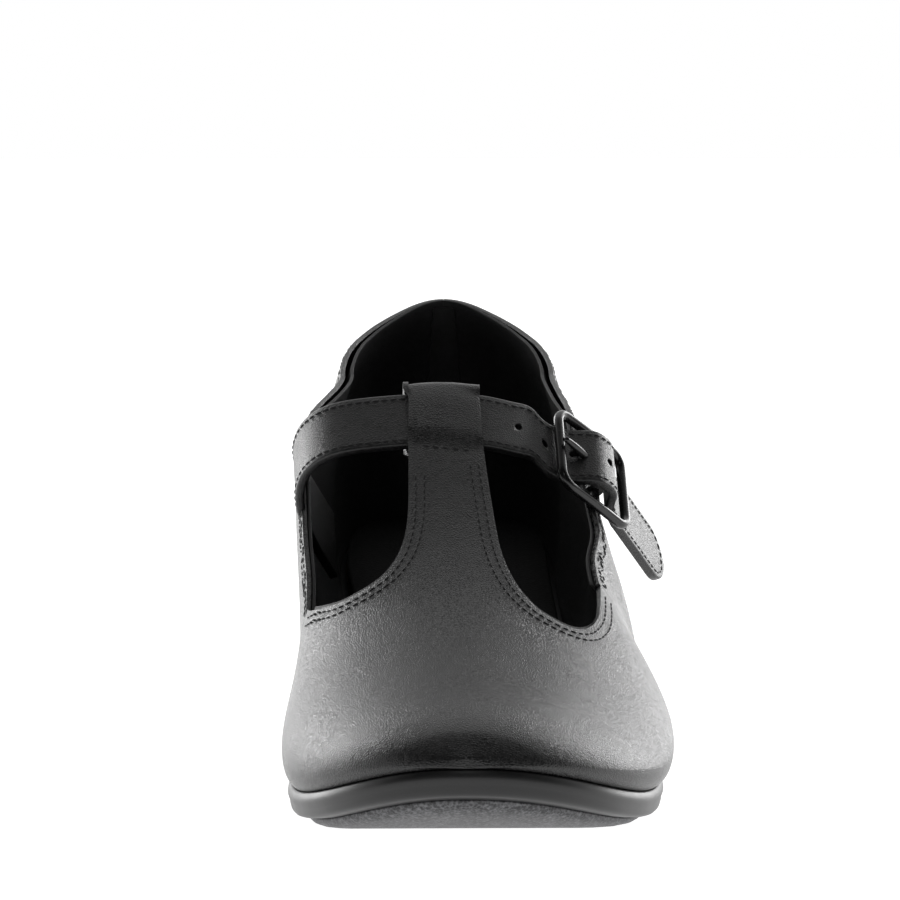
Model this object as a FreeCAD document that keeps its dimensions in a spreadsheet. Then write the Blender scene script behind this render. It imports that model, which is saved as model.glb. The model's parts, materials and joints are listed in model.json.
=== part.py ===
"""Left T-strap tap shoe, built piece by piece around a shoemaker's last.

Millimetres, +Z up.  The toe points to -Y and the outer (lateral) side is +X.
The origin is the centre of the heel tap's lower face, which stands on the floor.
The last is a set of formulas: a station is the distance back from the toe tip.
"""
import FreeCAD
import Part
import math
import os
from FreeCAD import Vector

DRIVING_SIZES = [
    # overall
    ("shoeLength", 250.0, "toe tip to back of heel"),
    ("heelCentre", 222.0, "station of the heel tap's centre, the origin"),
    ("ballMedial", 39.2, "sole half width at the ball, inner side"),
    ("ballLateral", 47.9, "sole half width at the ball, outer side"),
    ("waistMedial", 27.0, "sole half width at the waist, inner side"),
    ("waistLateral", 33.0, "sole half width at the waist, outer side"),
    ("heelHalf", 31.0, "sole half width at the heel seat"),
    ("heelHeight", 41.0, "floor to underside of the sole at the heel seat"),
    ("toeSpring", 13.4, "rise of the toe over the ball"),
    # sole stack
    ("soleThick", 6.0, "sole unit"),
    ("tapThick", 2.4, "toe tap plate"),
    ("tapInset", 4.0, "toe tap inside the sole's edge"),
    ("tapEnd", 92.0, "station of the toe tap's rear edge"),
    ("heelTapThick", 3.0, "heel tap plate"),
    ("heelTapHalf", 23.0, "heel tap half width"),
    ("heelTapLength", 47.0, "heel tap length"),
    ("insoleThick", 1.8, "insole board"),
    ("footbedThick", 2.5, "padded sock"),
    ("shankWidth", 13.0, "steel shank"),
    ("shankThick", 1.3, "steel shank"),
    ("screwRadius", 1.5, "tap screw shank"),
    ("screwHead", 3.2, "tap screw head radius"),
    ("screwLength", 6.0, "tap screw length"),
    ("nailRadius", 1.1, "heel nail"),
    ("nailLength", 22.0, "heel nail"),
    # upper
    ("welt", 1.4, "sole edge outside the upper's foot"),
    ("bulgeMedial", 41.0, "upper half width at the ball, inner side"),
    ("bulgeLateral", 50.8, "upper half width at the ball, outer side"),
    ("hollowMedial", 36.7, "upper half width behind the ball, inner side"),
    ("hollowLateral", 44.0, "upper half width behind the ball, outer side"),
    ("legMedial", 37.8, "upper half width at the waist, inner side"),
    ("legLateral", 36.5, "upper half width at the waist, outer side"),
    ("heelBulge", 31.5, "upper half width at the heel"),
    ("instepHeight", 78.5, "sole top to T-strap top"),
    ("backHeight", 59.6, "sole top to back of the topline"),
    ("leather", 1.3, "upper leather"),
    ("stiffener", 0.8, "toe puff and heel counter"),
    ("lining", 0.9, "lining leather"),
    ("ply", 0.05, "glue gap between plies"),
    ("seatGap", 0.1, "upper and insole above the sole unit"),
    ("seamStation", 103.0, "side seam and rear corner of the cutouts"),
    ("puffEnd", 40.0, "station of the toe puff's rear edge"),
    # strap and buckle
    ("strapWidth", 15.5, "ankle strap"),
    ("strapThick", 2.2, "ankle strap, two plies"),
    ("tailLength", 30.0, "strap end past the buckle"),
    ("loopDepth", 4.3, "loop's back ply behind the T-strap's face"),
    ("buckleAcross", 24.0, "buckle, along its bars"),
    ("buckleAlong", 25.0, "buckle, along the strap"),
    ("barRadius", 1.2, "buckle bars"),
    ("prongRadius", 0.9, "prong"),
    ("pinGap", 0.05, "radial running clearance on the centre bar"),
    ("barPlay", 1.15, "strap to end bar"),
]

doc = FreeCAD.newDocument("TapShoe")
sheet = doc.addObject("Spreadsheet::Sheet", "Sizes")
for row, (alias, value, note) in enumerate(DRIVING_SIZES, start=1):
    sheet.set(f"A{row}", note)
    sheet.set(f"B{row}", str(value))
    sheet.setAlias(f"B{row}", alias)
doc.recompute()


def size(alias):
    return float(sheet.get(alias))


LENGTH = size("shoeLength")
MEDIAL, LATERAL = -1, 1

# ---------------------------------------------------------------- the last

BALL = {MEDIAL: 0.30 * LENGTH, LATERAL: 0.36 * LENGTH}
HOLLOW = 0.46 * LENGTH
WAIST = 0.61 * LENGTH
REAR = 0.79 * LENGTH
FLAT_START = 0.28 * LENGTH
FLAT_END = 0.34 * LENGTH
SEAT = 0.94 * LENGTH
PLAN_POWER = 2.2
REAR_POWER = 2.1
COLLAR_POINT = 0.35  # how much more pointed the heel's plan is at the topline
CONTACT = size("tapThick") + size("soleThick")


def ease(share):
    share = min(max(share, 0.0), 1.0)
    return share * share * (3.0 - 2.0 * share)


def knots(station, points):
    """Smooth curve with level tangents through (station, value) points."""
    if station <= points[0][0]:
        return points[0][1]
    for (start, low), (end, high) in zip(points, points[1:]):
        if station <= end:
            return low + (high - low) * ease((station - start) / (end - start))
    return points[-1][1]


def through(station, points):
    """Smooth curve through points, with slopes taken from their neighbours."""
    last = len(points) - 1
    index = next((i for i in range(last) if station <= points[i + 1][0]), last - 1)

    def slope(i):
        before, after = points[max(i - 1, 0)], points[min(i + 1, last)]
        return (after[1] - before[1]) / (after[0] - before[0])

    (x0, y0), (x1, y1) = points[index], points[index + 1]
    span = x1 - x0
    share = (station - x0) / span
    return (y0 * (1 + 2 * share) * (1 - share) ** 2 + y1 * share ** 2 * (3 - 2 * share)
            + span * share * (1 - share) * (slope(index) * (1 - share) - slope(index + 1) * share))


def sole_top(station):
    """Height of the sole's upper face: toe spring, flat ball, rise to the heel seat."""
    spring = max(FLAT_START - station, 0.0) / FLAT_START
    lift = size("heelHeight") - CONTACT + size("soleThick")
    return (CONTACT + size("toeSpring") * spring ** 2.2
            + lift * ease((station - FLAT_END) / (SEAT - FLAT_END)))


def plan_half(station, side, ball, hollow, waist, heel, inset=0.0):
    """Half width of a plan outline with a round toe and a round heel."""
    back = LENGTH - inset
    front = BALL[side] - inset
    if station < BALL[side]:
        reach = min(max((BALL[side] - station) / front, 0.0), 1.0)
        return (ball - inset) * (1.0 - reach ** PLAN_POWER) ** (1.0 / PLAN_POWER)
    bends = [(BALL[side], ball), (HOLLOW, hollow), (WAIST, waist), (REAR, heel)]
    wide = knots(station, [bend for bend in bends if bend[1]]) - inset
    if station <= REAR:
        return wide
    reach = min((station - REAR) / (back - REAR), 1.0)
    return wide * (1.0 - reach ** REAR_POWER) ** (1.0 / REAR_POWER)


# half widths at the ball, behind the ball (None runs straight on), at the waist and at the heel
SOLE_PLAN = {
    MEDIAL: (size("ballMedial"), None, size("waistMedial"), size("heelHalf")),
    LATERAL: (size("ballLateral"), None, size("waistLateral"), size("heelHalf")),
}
UPPER_PLAN = {
    MEDIAL: (size("bulgeMedial"), size("hollowMedial"), size("legMedial"), size("heelBulge")),
    LATERAL: (size("bulgeLateral"), size("hollowLateral"), size("legLateral"), size("heelBulge")),
}
BULGE_SHARE = {
    MEDIAL: [(BALL[MEDIAL], 0.18), (WAIST, 0.46), (REAR, 0.24)],
    LATERAL: [(BALL[LATERAL], 0.18), (WAIST, 0.30), (REAR, 0.24)],
}
FULLNESS = {
    MEDIAL: [(BALL[MEDIAL], 1.9), (0.5 * LENGTH, 2.3), (REAR, 2.3)],
    LATERAL: [(BALL[LATERAL], 1.4), (0.5 * LENGTH, 1.5), (0.61 * LENGTH, 2.0), (REAR, 2.3)],
}
CROWN = 2.0  # least fullness at the ridge, so that it stays round
UNDERCUT = [(BALL[LATERAL], 2.0), (WAIST, 1.45), (REAR, 1.8)]  # fullness below the bulge
RIDGE = [(0.0, 0.03), (0.02, 0.126), (0.06, 0.223), (0.112, 0.30), (0.20, 0.405), (0.30, 0.531),
         (0.36, 0.65), (0.412, 0.771), (0.46, 0.889), (0.508, 1.0), (0.60, 1.08), (0.74, 0.96),
         (0.80, 0.91), (1.01, 0.90)]
RIDGE_DRIFT = [(0.0, 0.5), (0.3 * LENGTH, 0.0), (0.5 * LENGTH, -2.3), (REAR, 0.0)]
COLLAR = [(0.60, 0.95), (0.66, 0.94), (0.72, 0.90), (0.80, 0.85), (0.90, 0.878), (0.93, 0.905),
          (0.966, 0.951), (0.99, 0.988), (1.0, 1.0), (1.01, 1.003)]
TOPLINE = {
    MEDIAL: [(0.412, 0.55), (0.46, 0.66), (0.508, 0.75), (0.56, 0.86)] + COLLAR,
    LATERAL: [(0.412, 0.68), (0.46, 0.75), (0.508, 0.79), (0.56, 0.87)] + COLLAR,
}


def ridge_height(station):
    return sole_top(station) + size("instepHeight") * through(station / LENGTH, RIDGE)


def topline_height(station, side):
    return sole_top(station) + size("backHeight") * through(station / LENGTH, TOPLINE[side])


def wall_half(station, height, side, offset=0.0):
    """Half width of the last's side wall at a station and a height."""
    floor = sole_top(station)
    ridge = ridge_height(station) - offset
    share = knots(station, BULGE_SHARE[side])
    bulge = floor + share * (ridge - floor)
    full = knots(station, FULLNESS[side])
    foot = plan_half(min(station, REAR), side, *SOLE_PLAN[side], inset=size("welt") + offset)
    wide = plan_half(min(station, REAR), side, *UPPER_PLAN[side], inset=offset)
    drift = side * knots(station, RIDGE_DRIFT)
    if height <= bulge:
        reach = min(max((bulge - height) / (bulge - floor), 0.0), 1.0)
        under = knots(station, UNDERCUT)
        return foot + (wide - foot) * (1.0 - reach ** under) ** (1.0 / under)
    reach = min((height - bulge) / (ridge - bulge), 1.0)
    return drift + (wide - drift) * (1.0 - reach ** full) ** (1.0 / max(full, CROWN))


def back_station(height):
    """Back of the heel, leaning in towards the top."""
    rise = (height - sole_top(LENGTH)) / size("backHeight")
    return LENGTH - 1.5 + 1.2 * math.sin(math.pi * min(max(rise, 0.0), 1.2)) - 3.0 * max(rise, 0.0) ** 2


def place(x, station, height):
    return Vector(x, station - size("heelCentre"), height)


# ------------------------------------------------------- shapes on the last

def spline(points):
    curve = Part.BSplineCurve()
    curve.interpolate(points)
    return curve.toShape()


def feature(name, shape):
    item = doc.addObject("Part::Feature", name)
    item.Label = name
    item.Shape = shape
    return item


def section(station, offset):
    """Closed cross section of the fore part: flat foot, walls and ridge."""
    floor, ridge = sole_top(station) + size("seatGap"), ridge_height(station) - offset
    centre = knots(station, RIDGE_DRIFT)
    points = []
    for side in (MEDIAL, LATERAL):
        share = knots(station, BULGE_SHARE[side])
        bulge = floor + share * (ridge - floor)
        half = []
        for step in range(5):
            angle = 0.5 * math.pi * step / 4.0
            half.append(bulge - (bulge - floor) * math.cos(angle))
        for step in range(1, 8):
            angle = 0.5 * math.pi * step / 8.0
            half.append(bulge + (ridge - bulge) * math.sin(angle))
        wall = [place(side * wall_half(station, high, side, offset), station, high) for high in half]
        points.append(wall)
    crown = [place(centre, station, ridge)]
    outline = points[0] + crown + points[1][::-1]
    return Part.Wire([spline(outline), Part.LineSegment(outline[-1], outline[0]).toShape()])


FORE_STATIONS = [0.004, 0.012, 0.026, 0.05, 0.085, 0.13, 0.19, 0.25, 0.30, 0.33, 0.36, 0.385, 0.412, 0.46,
                 0.50, 0.54]


def fore_last(offset):
    """Solid of the fore part, shrunk by an offset that may change with the station."""
    wires = []
    for share in FORE_STATIONS:
        station = share * LENGTH
        inset = offset(station) if callable(offset) else offset
        shift = (inset + size("welt")) * (1.0 - min(station / BALL[MEDIAL], 1.0))
        wires.append(section(station + shift, inset))
    return Part.makeLoft(wires, True, False)


def block(x0, x1, station0, station1, z0, z1):
    shape = Part.makeBox(x1 - x0, station1 - station0, z1 - z0)
    shape.translate(place(x0, station0, z0))
    return shape


def front_prism(points, station0, station1):
    """Prism seen from the front: (x, height) points, extruded along the shoe."""
    path = [place(x, station0, z) for x, z in points]
    face = Part.Face(Part.makePolygon(path + path[:1]))
    return face.extrude(Vector(0, station1 - station0, 0))


def side_prism(points, x0, x1):
    """Prism seen from the side: (station, height) points, extruded across the shoe."""
    path = [place(x0, station, z) for station, z in points]
    face = Part.Face(Part.makePolygon(path + path[:1]))
    return face.extrude(Vector(x1 - x0, 0, 0))


def surface(grid):
    patch = Part.BSplineSurface()
    patch.interpolate(grid)
    return patch


def skin(outer, inner):
    """Closed shell between two matching grids of points."""
    faces, borders = [], []
    for grid in (outer, inner):
        patch = surface(grid)
        faces.append(patch.toShape())
        u0, u1, v0, v1 = patch.bounds()
        borders.append([patch.uIso(u0), patch.uIso(u1), patch.vIso(v0), patch.vIso(v1)])
    for one, other in zip(*borders):
        rims = [Part.Wire(one.toShape()), Part.Wire(other.toShape())]
        faces += Part.makeLoft(rims, False, True).Faces
    shell = Part.makeCompound(faces)
    shell.sewShape(0.001)
    solid = Part.Solid(shell.Shells[0])
    if solid.Volume < 0:
        solid.reverse()
    return solid


def quarter_point(side, along, up, offset, top):
    """Point on the rear wall: along 0 at the side seam, 1 at the back seam."""
    turn = 0.6
    start = size("seamStation") + 0.05
    if along < turn:
        station = start + (REAR - start) * along / turn
        floor = sole_top(station) + size("seatGap")
        height = floor + up * (top(station, side) - floor)
        return place(side * wall_half(station, height, side, offset), station, height)
    angle = 0.5 * math.pi * (along - turn) / (1.0 - turn)
    reach = math.sin(angle) ** (2.0 / REAR_POWER)
    station = REAR + (LENGTH - REAR) * reach
    floor = sole_top(station) + size("seatGap")
    height = floor + up * (top(station, side) - floor)
    half = wall_half(REAR, sole_top(REAR) + height - floor, side, offset)
    power = REAR_POWER - COLLAR_POINT * min((height - floor) / size("backHeight"), 1.0)
    width = half * math.cos(angle) ** (2.0 / power)
    station = REAR + (back_station(height) - offset - REAR) * math.sin(angle) ** (2.0 / power)
    return place(side * width, station, height)


def quarter_skin(side, offset, thick, top, columns=25, rows=9):
    """Shell of one side of the rear wall, at an offset that may change along it."""
    grids = []
    for deep in (0.0, thick):
        grid = []
        for i in range(columns):
            along = i / (columns - 1.0)
            inset = deep + (offset(along) if callable(offset) else offset)
            grid.append([quarter_point(side, along, j / (rows - 1.0), inset, top) for j in range(rows)])
        grids.append(grid)
    return skin(*grids)


def wrap_skin(offset, thick, top, start, low=0.0, columns=33, rows=7):
    """Shell that runs round the back of the heel from one side to the other."""
    grids = []
    for deep in (0.0, thick):
        rings = []
        for i in range(columns):
            share = 2.0 * i / (columns - 1.0)
            side = MEDIAL if share <= 1.0 else LATERAL
            along = start + (1.0 - start) * (share if share <= 1.0 else 2.0 - share)
            rings.append([quarter_point(side, along, low + (1.0 - low) * j / (rows - 1.0),
                                        offset + deep, top) for j in range(rows)])
        grids.append(rings)
    return skin(*grids)


# ---------------------------------------------------------------- sole stack

def plan_wire(inset=0.0, end=None):
    """Plan outline of the sole, drawn in, and cut off straight at an end station."""
    steps = 26
    back = LENGTH - inset if end is None else end
    stations = [inset + (back - inset) * (1.0 - math.cos(math.pi * i / steps)) / 2.0
                for i in range(steps + 1)]
    if end is not None:
        stations = [inset + (back - inset) * (1.0 - math.cos(0.5 * math.pi * i / steps))
                    for i in range(steps + 1)]
    rings = {side: [place(side * plan_half(station, side, *SOLE_PLAN[side], inset=inset), station, 0)
                    for station in stations] for side in (MEDIAL, LATERAL)}
    outline = rings[MEDIAL][::-1] + rings[LATERAL][1:]
    if end is not None:
        return Part.Wire([spline(outline), Part.LineSegment(outline[-1], outline[0]).toShape()])
    curve = Part.BSplineCurve()
    curve.interpolate(outline[:-1], PeriodicFlag=True)
    return Part.Wire(curve.toShape())


def band_wire(low, high):
    """Side profile of a layer that follows the sole's upper face."""
    margin = 6.0

    def run(rise):
        front = [place(0, -margin + (FLAT_START + margin) * i / 10.0,
                       sole_top(-margin + (FLAT_START + margin) * i / 10.0) + rise) for i in range(11)]
        rear = [place(0, FLAT_END + (LENGTH + margin - FLAT_END) * i / 14.0,
                      sole_top(FLAT_END + (LENGTH + margin - FLAT_END) * i / 14.0) + rise)
                for i in range(15)]
        return front, rear

    (front0, rear0), (front1, rear1) = run(low), run(high)
    return Part.Wire([spline(front0), Part.LineSegment(front0[-1], rear0[0]).toShape(),
                      spline(rear0), Part.LineSegment(rear0[-1], rear1[-1]).toShape(),
                      spline(rear1[::-1]), Part.LineSegment(rear1[0], front1[-1]).toShape(),
                      spline(front1[::-1]), Part.LineSegment(front1[0], front0[0]).toShape()])


def extrusion(name, wire, direction, length, symmetric=False):
    outline = feature(name + "_outline", Part.Face(wire))
    item = doc.addObject("Part::Extrusion", name)
    item.Base = outline
    item.DirMode = "Custom"
    item.Dir = direction
    item.LengthFwd = length
    item.Solid = True
    item.Symmetric = symmetric
    return item


def primitive(kind, name, place_at=None, **fields):
    """Part primitive: a text field is a formula over the sizes, a number is set as it is."""
    item = doc.addObject("Part::" + kind, name)
    for field, value in fields.items():
        if isinstance(value, str):
            item.setExpression(field, value)
        else:
            setattr(item, field, value)
    if place_at:
        item.Placement = place_at
    return item


def local(x=0.0, y=0.0, z=0.0, axis=None, degrees=0.0):
    return FreeCAD.Placement(Vector(x, y, z), FreeCAD.Rotation(axis or Vector(0, 0, 1), degrees))


def boolean(kind, name, base, tool):
    item = doc.addObject("Part::" + kind, name)
    item.Label = name
    item.Base, item.Tool = base, tool
    doc.recompute()
    return item


def layer(name, inset, low, high, end=None):
    """A plan outline cut to the layer between two heights over the sole's upper face."""
    plan = extrusion(name + "_plan", plan_wire(inset, end), Vector(0, 0, 1), 150.0)
    profile = extrusion(name + "_profile", band_wire(low, high), Vector(1, 0, 0), 200.0, True)
    return boolean("Common", name, plan, profile)


def sole_placement(x, station, drop):
    """Placement square to the sole's lower side, a drop below its upper face."""
    slope = (sole_top(station + 1.0) - sole_top(station - 1.0)) / 2.0
    turn = FreeCAD.Rotation(Vector(1, 0, 0), math.degrees(math.atan(slope)))
    return FreeCAD.Placement(place(x, station, sole_top(station) - drop), turn)


def group(name, shape, placements):
    return feature(name, Part.Compound([shape.transformed(p.Matrix, True) for p in placements]))


def screw_shape():
    """Countersunk screw, head down at the origin."""
    head = primitive("Cone", "screw_head_form", Radius1="Sizes.screwHead", Radius2="Sizes.screwRadius",
                     Height="Sizes.screwHead - Sizes.screwRadius")
    stem = primitive("Cylinder", "screw_stem_form", Radius="Sizes.screwRadius", Height="Sizes.screwLength")
    fused = boolean("Fuse", "screw_form", head, stem)
    slot = primitive("Box", "screw_slot_form", local(-1.1 * size("screwHead"), -0.4, -0.01),
                     Length="2.2 * Sizes.screwHead", Width=0.8, Height=0.7)
    mouth = Part.makeCylinder(size("screwHead"), 1.0, Vector(0, 0, -1.0))
    return boolean("Cut", "screw_slotted_form", fused, slot).Shape, fused.Shape.fuse(mouth)


SOLE_DROP = size("soleThick")
seat_margin = size("welt") + size("leather") + size("stiffener") + size("lining") + 4 * size("ply")
outsole_blank = layer("outsole_blank", 0.0, -SOLE_DROP, 0.0)
insole_blank = layer("insole_blank", seat_margin + 1.2, size("seatGap"), size("insoleThick"))
footbed = layer("footbed", seat_margin + 1.4, size("insoleThick") + size("ply"),
                size("insoleThick") + size("footbedThick"))
tap_blank = layer("toe_tap_blank", size("tapInset"), -CONTACT, -SOLE_DROP, size("tapEnd"))

shank_plan = primitive("Box", "shank_plan",
                       FreeCAD.Placement(place(-size("shankWidth") / 2, 0.46 * LENGTH, 0.0),
                                         FreeCAD.Rotation()),
                       Length="Sizes.shankWidth", Width="0.34 * Sizes.shoeLength", Height=150.0)
shank_profile = extrusion("shank_profile", band_wire(-size("shankThick"), 0.0), Vector(1, 0, 0),
                          200.0, True)
shank = boolean("Common", "shank", shank_plan, shank_profile)

slotted, plain = screw_shape()
tap_places = [sole_placement(x, share * LENGTH, CONTACT - size("ply"))
              for x, share in ((0.0, 0.07), (-24.0, 0.20), (25.0, 0.20), (-26.0, 0.335), (28.0, 0.335))]
toe_tap_screws = group("toe_tap_screws", slotted, tap_places)
tap_holes = group("tap_screw_holes", plain, tap_places)
toe_tap = boolean("Cut", "toe_tap", tap_blank, tap_holes)

# ---------------------------------------------------------------- heel


def heel_wire(height, half, front, back):
    """D-shaped heel section: straight breast, flat sides, round back."""
    straight = front + 0.3 * (back - front)
    points = [place(-half, front, height), place(-half * 1.01, straight, height)]
    steps = 10
    for i in range(1, 2 * steps):
        angle = math.pi * i / (2.0 * steps)
        x = -half * math.copysign(abs(math.cos(angle)) ** 0.9, math.cos(angle))
        points.append(place(x * 1.01, straight + (back - straight) * math.sin(angle) ** 0.9, height))
    points += [place(half * 1.01, straight, height), place(half, front, height)]
    return Part.Wire([spline(points), Part.LineSegment(points[-1], points[0]).toShape()])


tap_front = size("heelCentre") - size("heelTapLength") / 2
tap_back = size("heelCentre") + size("heelTapLength") / 2
seat_front = 0.775 * LENGTH
top_z = size("heelHeight") + 10.0
mid_z = 0.5 * size("heelHeight")
heel_loft = feature("heel_loft", Part.makeLoft([
    heel_wire(size("heelTapThick"), size("heelTapHalf"), tap_front, tap_back),
    heel_wire(mid_z, size("heelTapHalf") + 1.8, tap_front - 2.5, tap_back + 0.4),
    heel_wire(size("heelHeight") - 4.0, size("heelHalf") - 2.4, seat_front + 2.0, LENGTH - 2.2),
    heel_wire(top_z, size("heelHalf") - 1.6, seat_front, LENGTH - 1.6)], True, False))
above_heel = extrusion("above_heel", band_wire(-SOLE_DROP, 60.0), Vector(1, 0, 0), 200.0, True)
heel_blank = boolean("Cut", "heel_blank", heel_loft, above_heel)
heel_tap_blank = extrusion("heel_tap_blank", heel_wire(0.0, size("heelTapHalf"), tap_front, tap_back),
                           Vector(0, 0, 1), size("heelTapThick"))
heel_tap_blank.setExpression("LengthFwd", "Sizes.heelTapThick")

heel_places = [FreeCAD.Placement(place(x, station, size("ply")), FreeCAD.Rotation())
               for x, station in ((0.0, tap_front + 9.0), (-12.0, tap_back - 15.0),
                                  (12.0, tap_back - 15.0))]
heel_tap_screws = group("heel_tap_screws", slotted, heel_places)
heel_holes = group("heel_screw_holes", plain, heel_places)
heel_tap = boolean("Cut", "heel_tap", heel_tap_blank, heel_holes)

NAIL_HEAD = 0.8
nail_stem = primitive("Cylinder", "nail_stem_form", local(0, 0, -size("nailLength")),
                      Radius="Sizes.nailRadius", Height="Sizes.nailLength")
nail_head = primitive("Cylinder", "nail_head_form", local(0, 0, -NAIL_HEAD),
                      Radius="2.2 * Sizes.nailRadius", Height=NAIL_HEAD)
nail = boolean("Fuse", "nail_form", nail_stem, nail_head).Shape
nail_places = [FreeCAD.Placement(place(x, share * LENGTH, sole_top(share * LENGTH)
                                       + size("insoleThick") - 0.45), FreeCAD.Rotation())
               for x, share in ((-14.0, 0.84), (14.0, 0.84), (-13.0, 0.93), (13.0, 0.93), (0.0, 0.885))]
heel_nails = group("heel_nails", nail, nail_places)
nail_slots = nail.fuse(Part.makeCylinder(2.2 * size("nailRadius"), 3.0, Vector(0, 0, -NAIL_HEAD)))
nail_holes = group("nail_holes", nail_slots, nail_places)

heel_block = boolean("Cut", "heel_block_drilled", heel_blank, heel_holes)
heel_block = boolean("Cut", "heel_block", heel_block, nail_holes)
insole_board = boolean("Cut", "insole_board", insole_blank, nail_holes)
outsole = boolean("Cut", "outsole_channel", outsole_blank, shank)
outsole = boolean("Cut", "outsole_screwed", outsole, tap_holes)
outsole = boolean("Cut", "outsole", outsole, nail_holes)

# ---------------------------------------------------------------- upper

LEATHER, PLY = size("leather"), size("ply")
under_leather = LEATHER + PLY
under_puff = under_leather + size("stiffener")
corner = {side: topline_height(size("seamStation"), side) for side in (MEDIAL, LATERAL)}
T_LEFT = [(-10.6, 130.0), (-10.9, 81.0), (-11.2, 67.6), (-12.4, 61.4), (-15.1, 56.8),
          (-18.8, 53.2), (-26.3, 48.2), (-32.2, 45.4), (-37.0, corner[MEDIAL] + 0.3),
          (-70.0, corner[MEDIAL] + 0.3), (-70.0, 130.0)]
T_RIGHT = [(6.2, 130.0), (6.9, 81.5), (8.7, 67.9), (10.4, 59.2), (13.4, 53.4), (17.7, 48.5),
           (22.6, 45.3), (27.0, 43.3), (30.6, 42.9), (33.0, 44.2), (33.9, 46.6), (34.3, corner[LATERAL]),
           (70.0, corner[LATERAL]), (70.0, 130.0)]


def graded(points):
    """Front outline drawn for a last 91.8 wide, carried to this ball width and height."""
    wide = (size("bulgeMedial") + size("bulgeLateral")) / 91.8
    tall = size("instepHeight") / 78.5
    base = CONTACT
    return [(x * wide, base + (z - base) * tall) for x, z in points]


loop_station = 0.484 * LENGTH
LOOP_X = -2.2
slant = math.atan2(ridge_height(loop_station + 5) - ridge_height(loop_station - 5), 10.0)
loop_turn = FreeCAD.Rotation(Vector(1, 0, 0), math.degrees(slant))
loop_frame = FreeCAD.Placement(place(LOOP_X, loop_station, ridge_height(loop_station)), loop_turn)
HALF_STRAP = size("strapWidth") / 2.0
LOOP_END = HALF_STRAP + 1.3


def loop_box(x0, x1, y0, y1, z0, z1):
    """Box in the loop's own frame: y up the T-strap, z out of its face."""
    shape = Part.makeBox(x1 - x0, y1 - y0, z1 - z0, Vector(x0, y0, z0))
    return shape.transformed(loop_frame.Matrix, True)


def fore_hollow(outer, inner):
    """Wall between two sizes of the fore part, open at the foot and the rear."""
    return fore_last(outer).cut([fore_last(inner)], 0.001)


def fore_shell(outer, inner, loop_limit):
    shell = fore_hollow(outer, inner)
    seam = size("seamStation")
    shell = shell.cut(block(-90, 90, seam, LENGTH, 0.0, ridge_height(seam) - 9.0))
    for points in (T_LEFT, T_RIGHT):
        shell = shell.cut(front_prism(graded(points), 0.2 * LENGTH, LENGTH))
    return shell.cut(loop_box(-80, 80, loop_limit, 80, -60, 60))


def puff_offset(base):
    return lambda station: base + (size("stiffener") + 4 * PLY) * (
        1.0 - ease((station - size("puffEnd") - 10.0) / 16.0))


vamp = feature("vamp", fore_shell(0.0, LEATHER, LOOP_END))
toe_puff = feature("toe_puff", fore_hollow(under_leather, under_puff).common(
    block(-90, 90, -10, size("puffEnd"), 0, 90)))
lining_outer, lining_inner = puff_offset(under_leather), puff_offset(under_leather + size("lining"))
vamp_lining = feature("vamp_lining", fore_shell(lining_outer, lining_inner, -LOOP_END - 1.4))

depth = size("loopDepth")
loop_profile = [(LOOP_END + PLY, 0.0), (LOOP_END + 1.4, 0.0), (LOOP_END + 1.4, -depth - 1.2),
                (-LOOP_END - 1.2, -depth - 1.2), (-LOOP_END - 1.2, -2.2), (-LOOP_END, -2.2),
                (-LOOP_END, -depth), (LOOP_END + PLY, -depth)]
loop_path = [Vector(-7.0, y, z) for y, z in loop_profile]
loop_solid = Part.Face(Part.makePolygon(loop_path + loop_path[:1])).extrude(Vector(14.0, 0, 0))
t_strap_loop = feature("t_strap_loop", loop_solid.transformed(loop_frame.Matrix, True))

for side, name in ((MEDIAL, "medial"), (LATERAL, "lateral")):
    feature(name + "_quarter", quarter_skin(side, 0.0, LEATHER, topline_height))
    feature(name + "_quarter_lining", quarter_skin(
        side, lambda along: under_leather + (size("stiffener") + 4 * PLY) * ease((along - 0.34) / 0.12),
        size("lining"), topline_height))


def counter_top(station, side):
    return sole_top(station) + 0.72 * (topline_height(station, side) - sole_top(station))


def tape_top(station, side):
    return topline_height(station, side) - 2.0


heel_counter = feature("heel_counter", wrap_skin(under_leather, size("stiffener"), counter_top, 0.55))
back_tape = feature("back_tape", wrap_skin(under_puff + 6 * PLY + size("lining"), 0.7, tape_top, 0.955,
                                           low=0.12, columns=7))

# ---------------------------------------------------------------- strap and buckle

strap_across = Vector(-0.04, math.cos(slant), math.sin(slant)).normalize()
strap_along = Vector(15.9, 14.6, -13.4)
strap_along = (strap_along - strap_across * strap_along.dot(strap_across)).normalize()
strap_out = strap_along.cross(strap_across)
if strap_out.x < 0:
    strap_out = strap_out * -1.0
buckle_centre = place(33.5, loop_station + 9.8, ridge_height(loop_station) - 14.0)
buckle_turn = FreeCAD.Rotation(strap_along, strap_out.cross(strap_along), strap_out, "ZXY")
buckle_frame_place = FreeCAD.Placement(buckle_centre, buckle_turn)
BAR = size("barRadius")
RING = BAR + size("pinGap") + 1.0
HALF_THICK = size("strapThick") / 2.0
half_along = size("buckleAlong") / 2.0
half_across = size("buckleAcross") / 2.0 - BAR
under_bar = -(BAR + size("barPlay") + HALF_THICK)
over_bar = RING + 0.35 + HALF_THICK


def in_buckle(along, out):
    return buckle_centre + strap_along * along + strap_out * out


loop_strap = loop_frame.multVec(Vector(0, 0.5, -(LEATHER + 0.35 + HALF_THICK)))


def in_arch(x, drop):
    """Point of the strap's middle line over the instep, a drop below its top."""
    return Vector(x, loop_strap.y + drop * math.sin(slant), loop_strap.z - drop * math.cos(slant))


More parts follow.
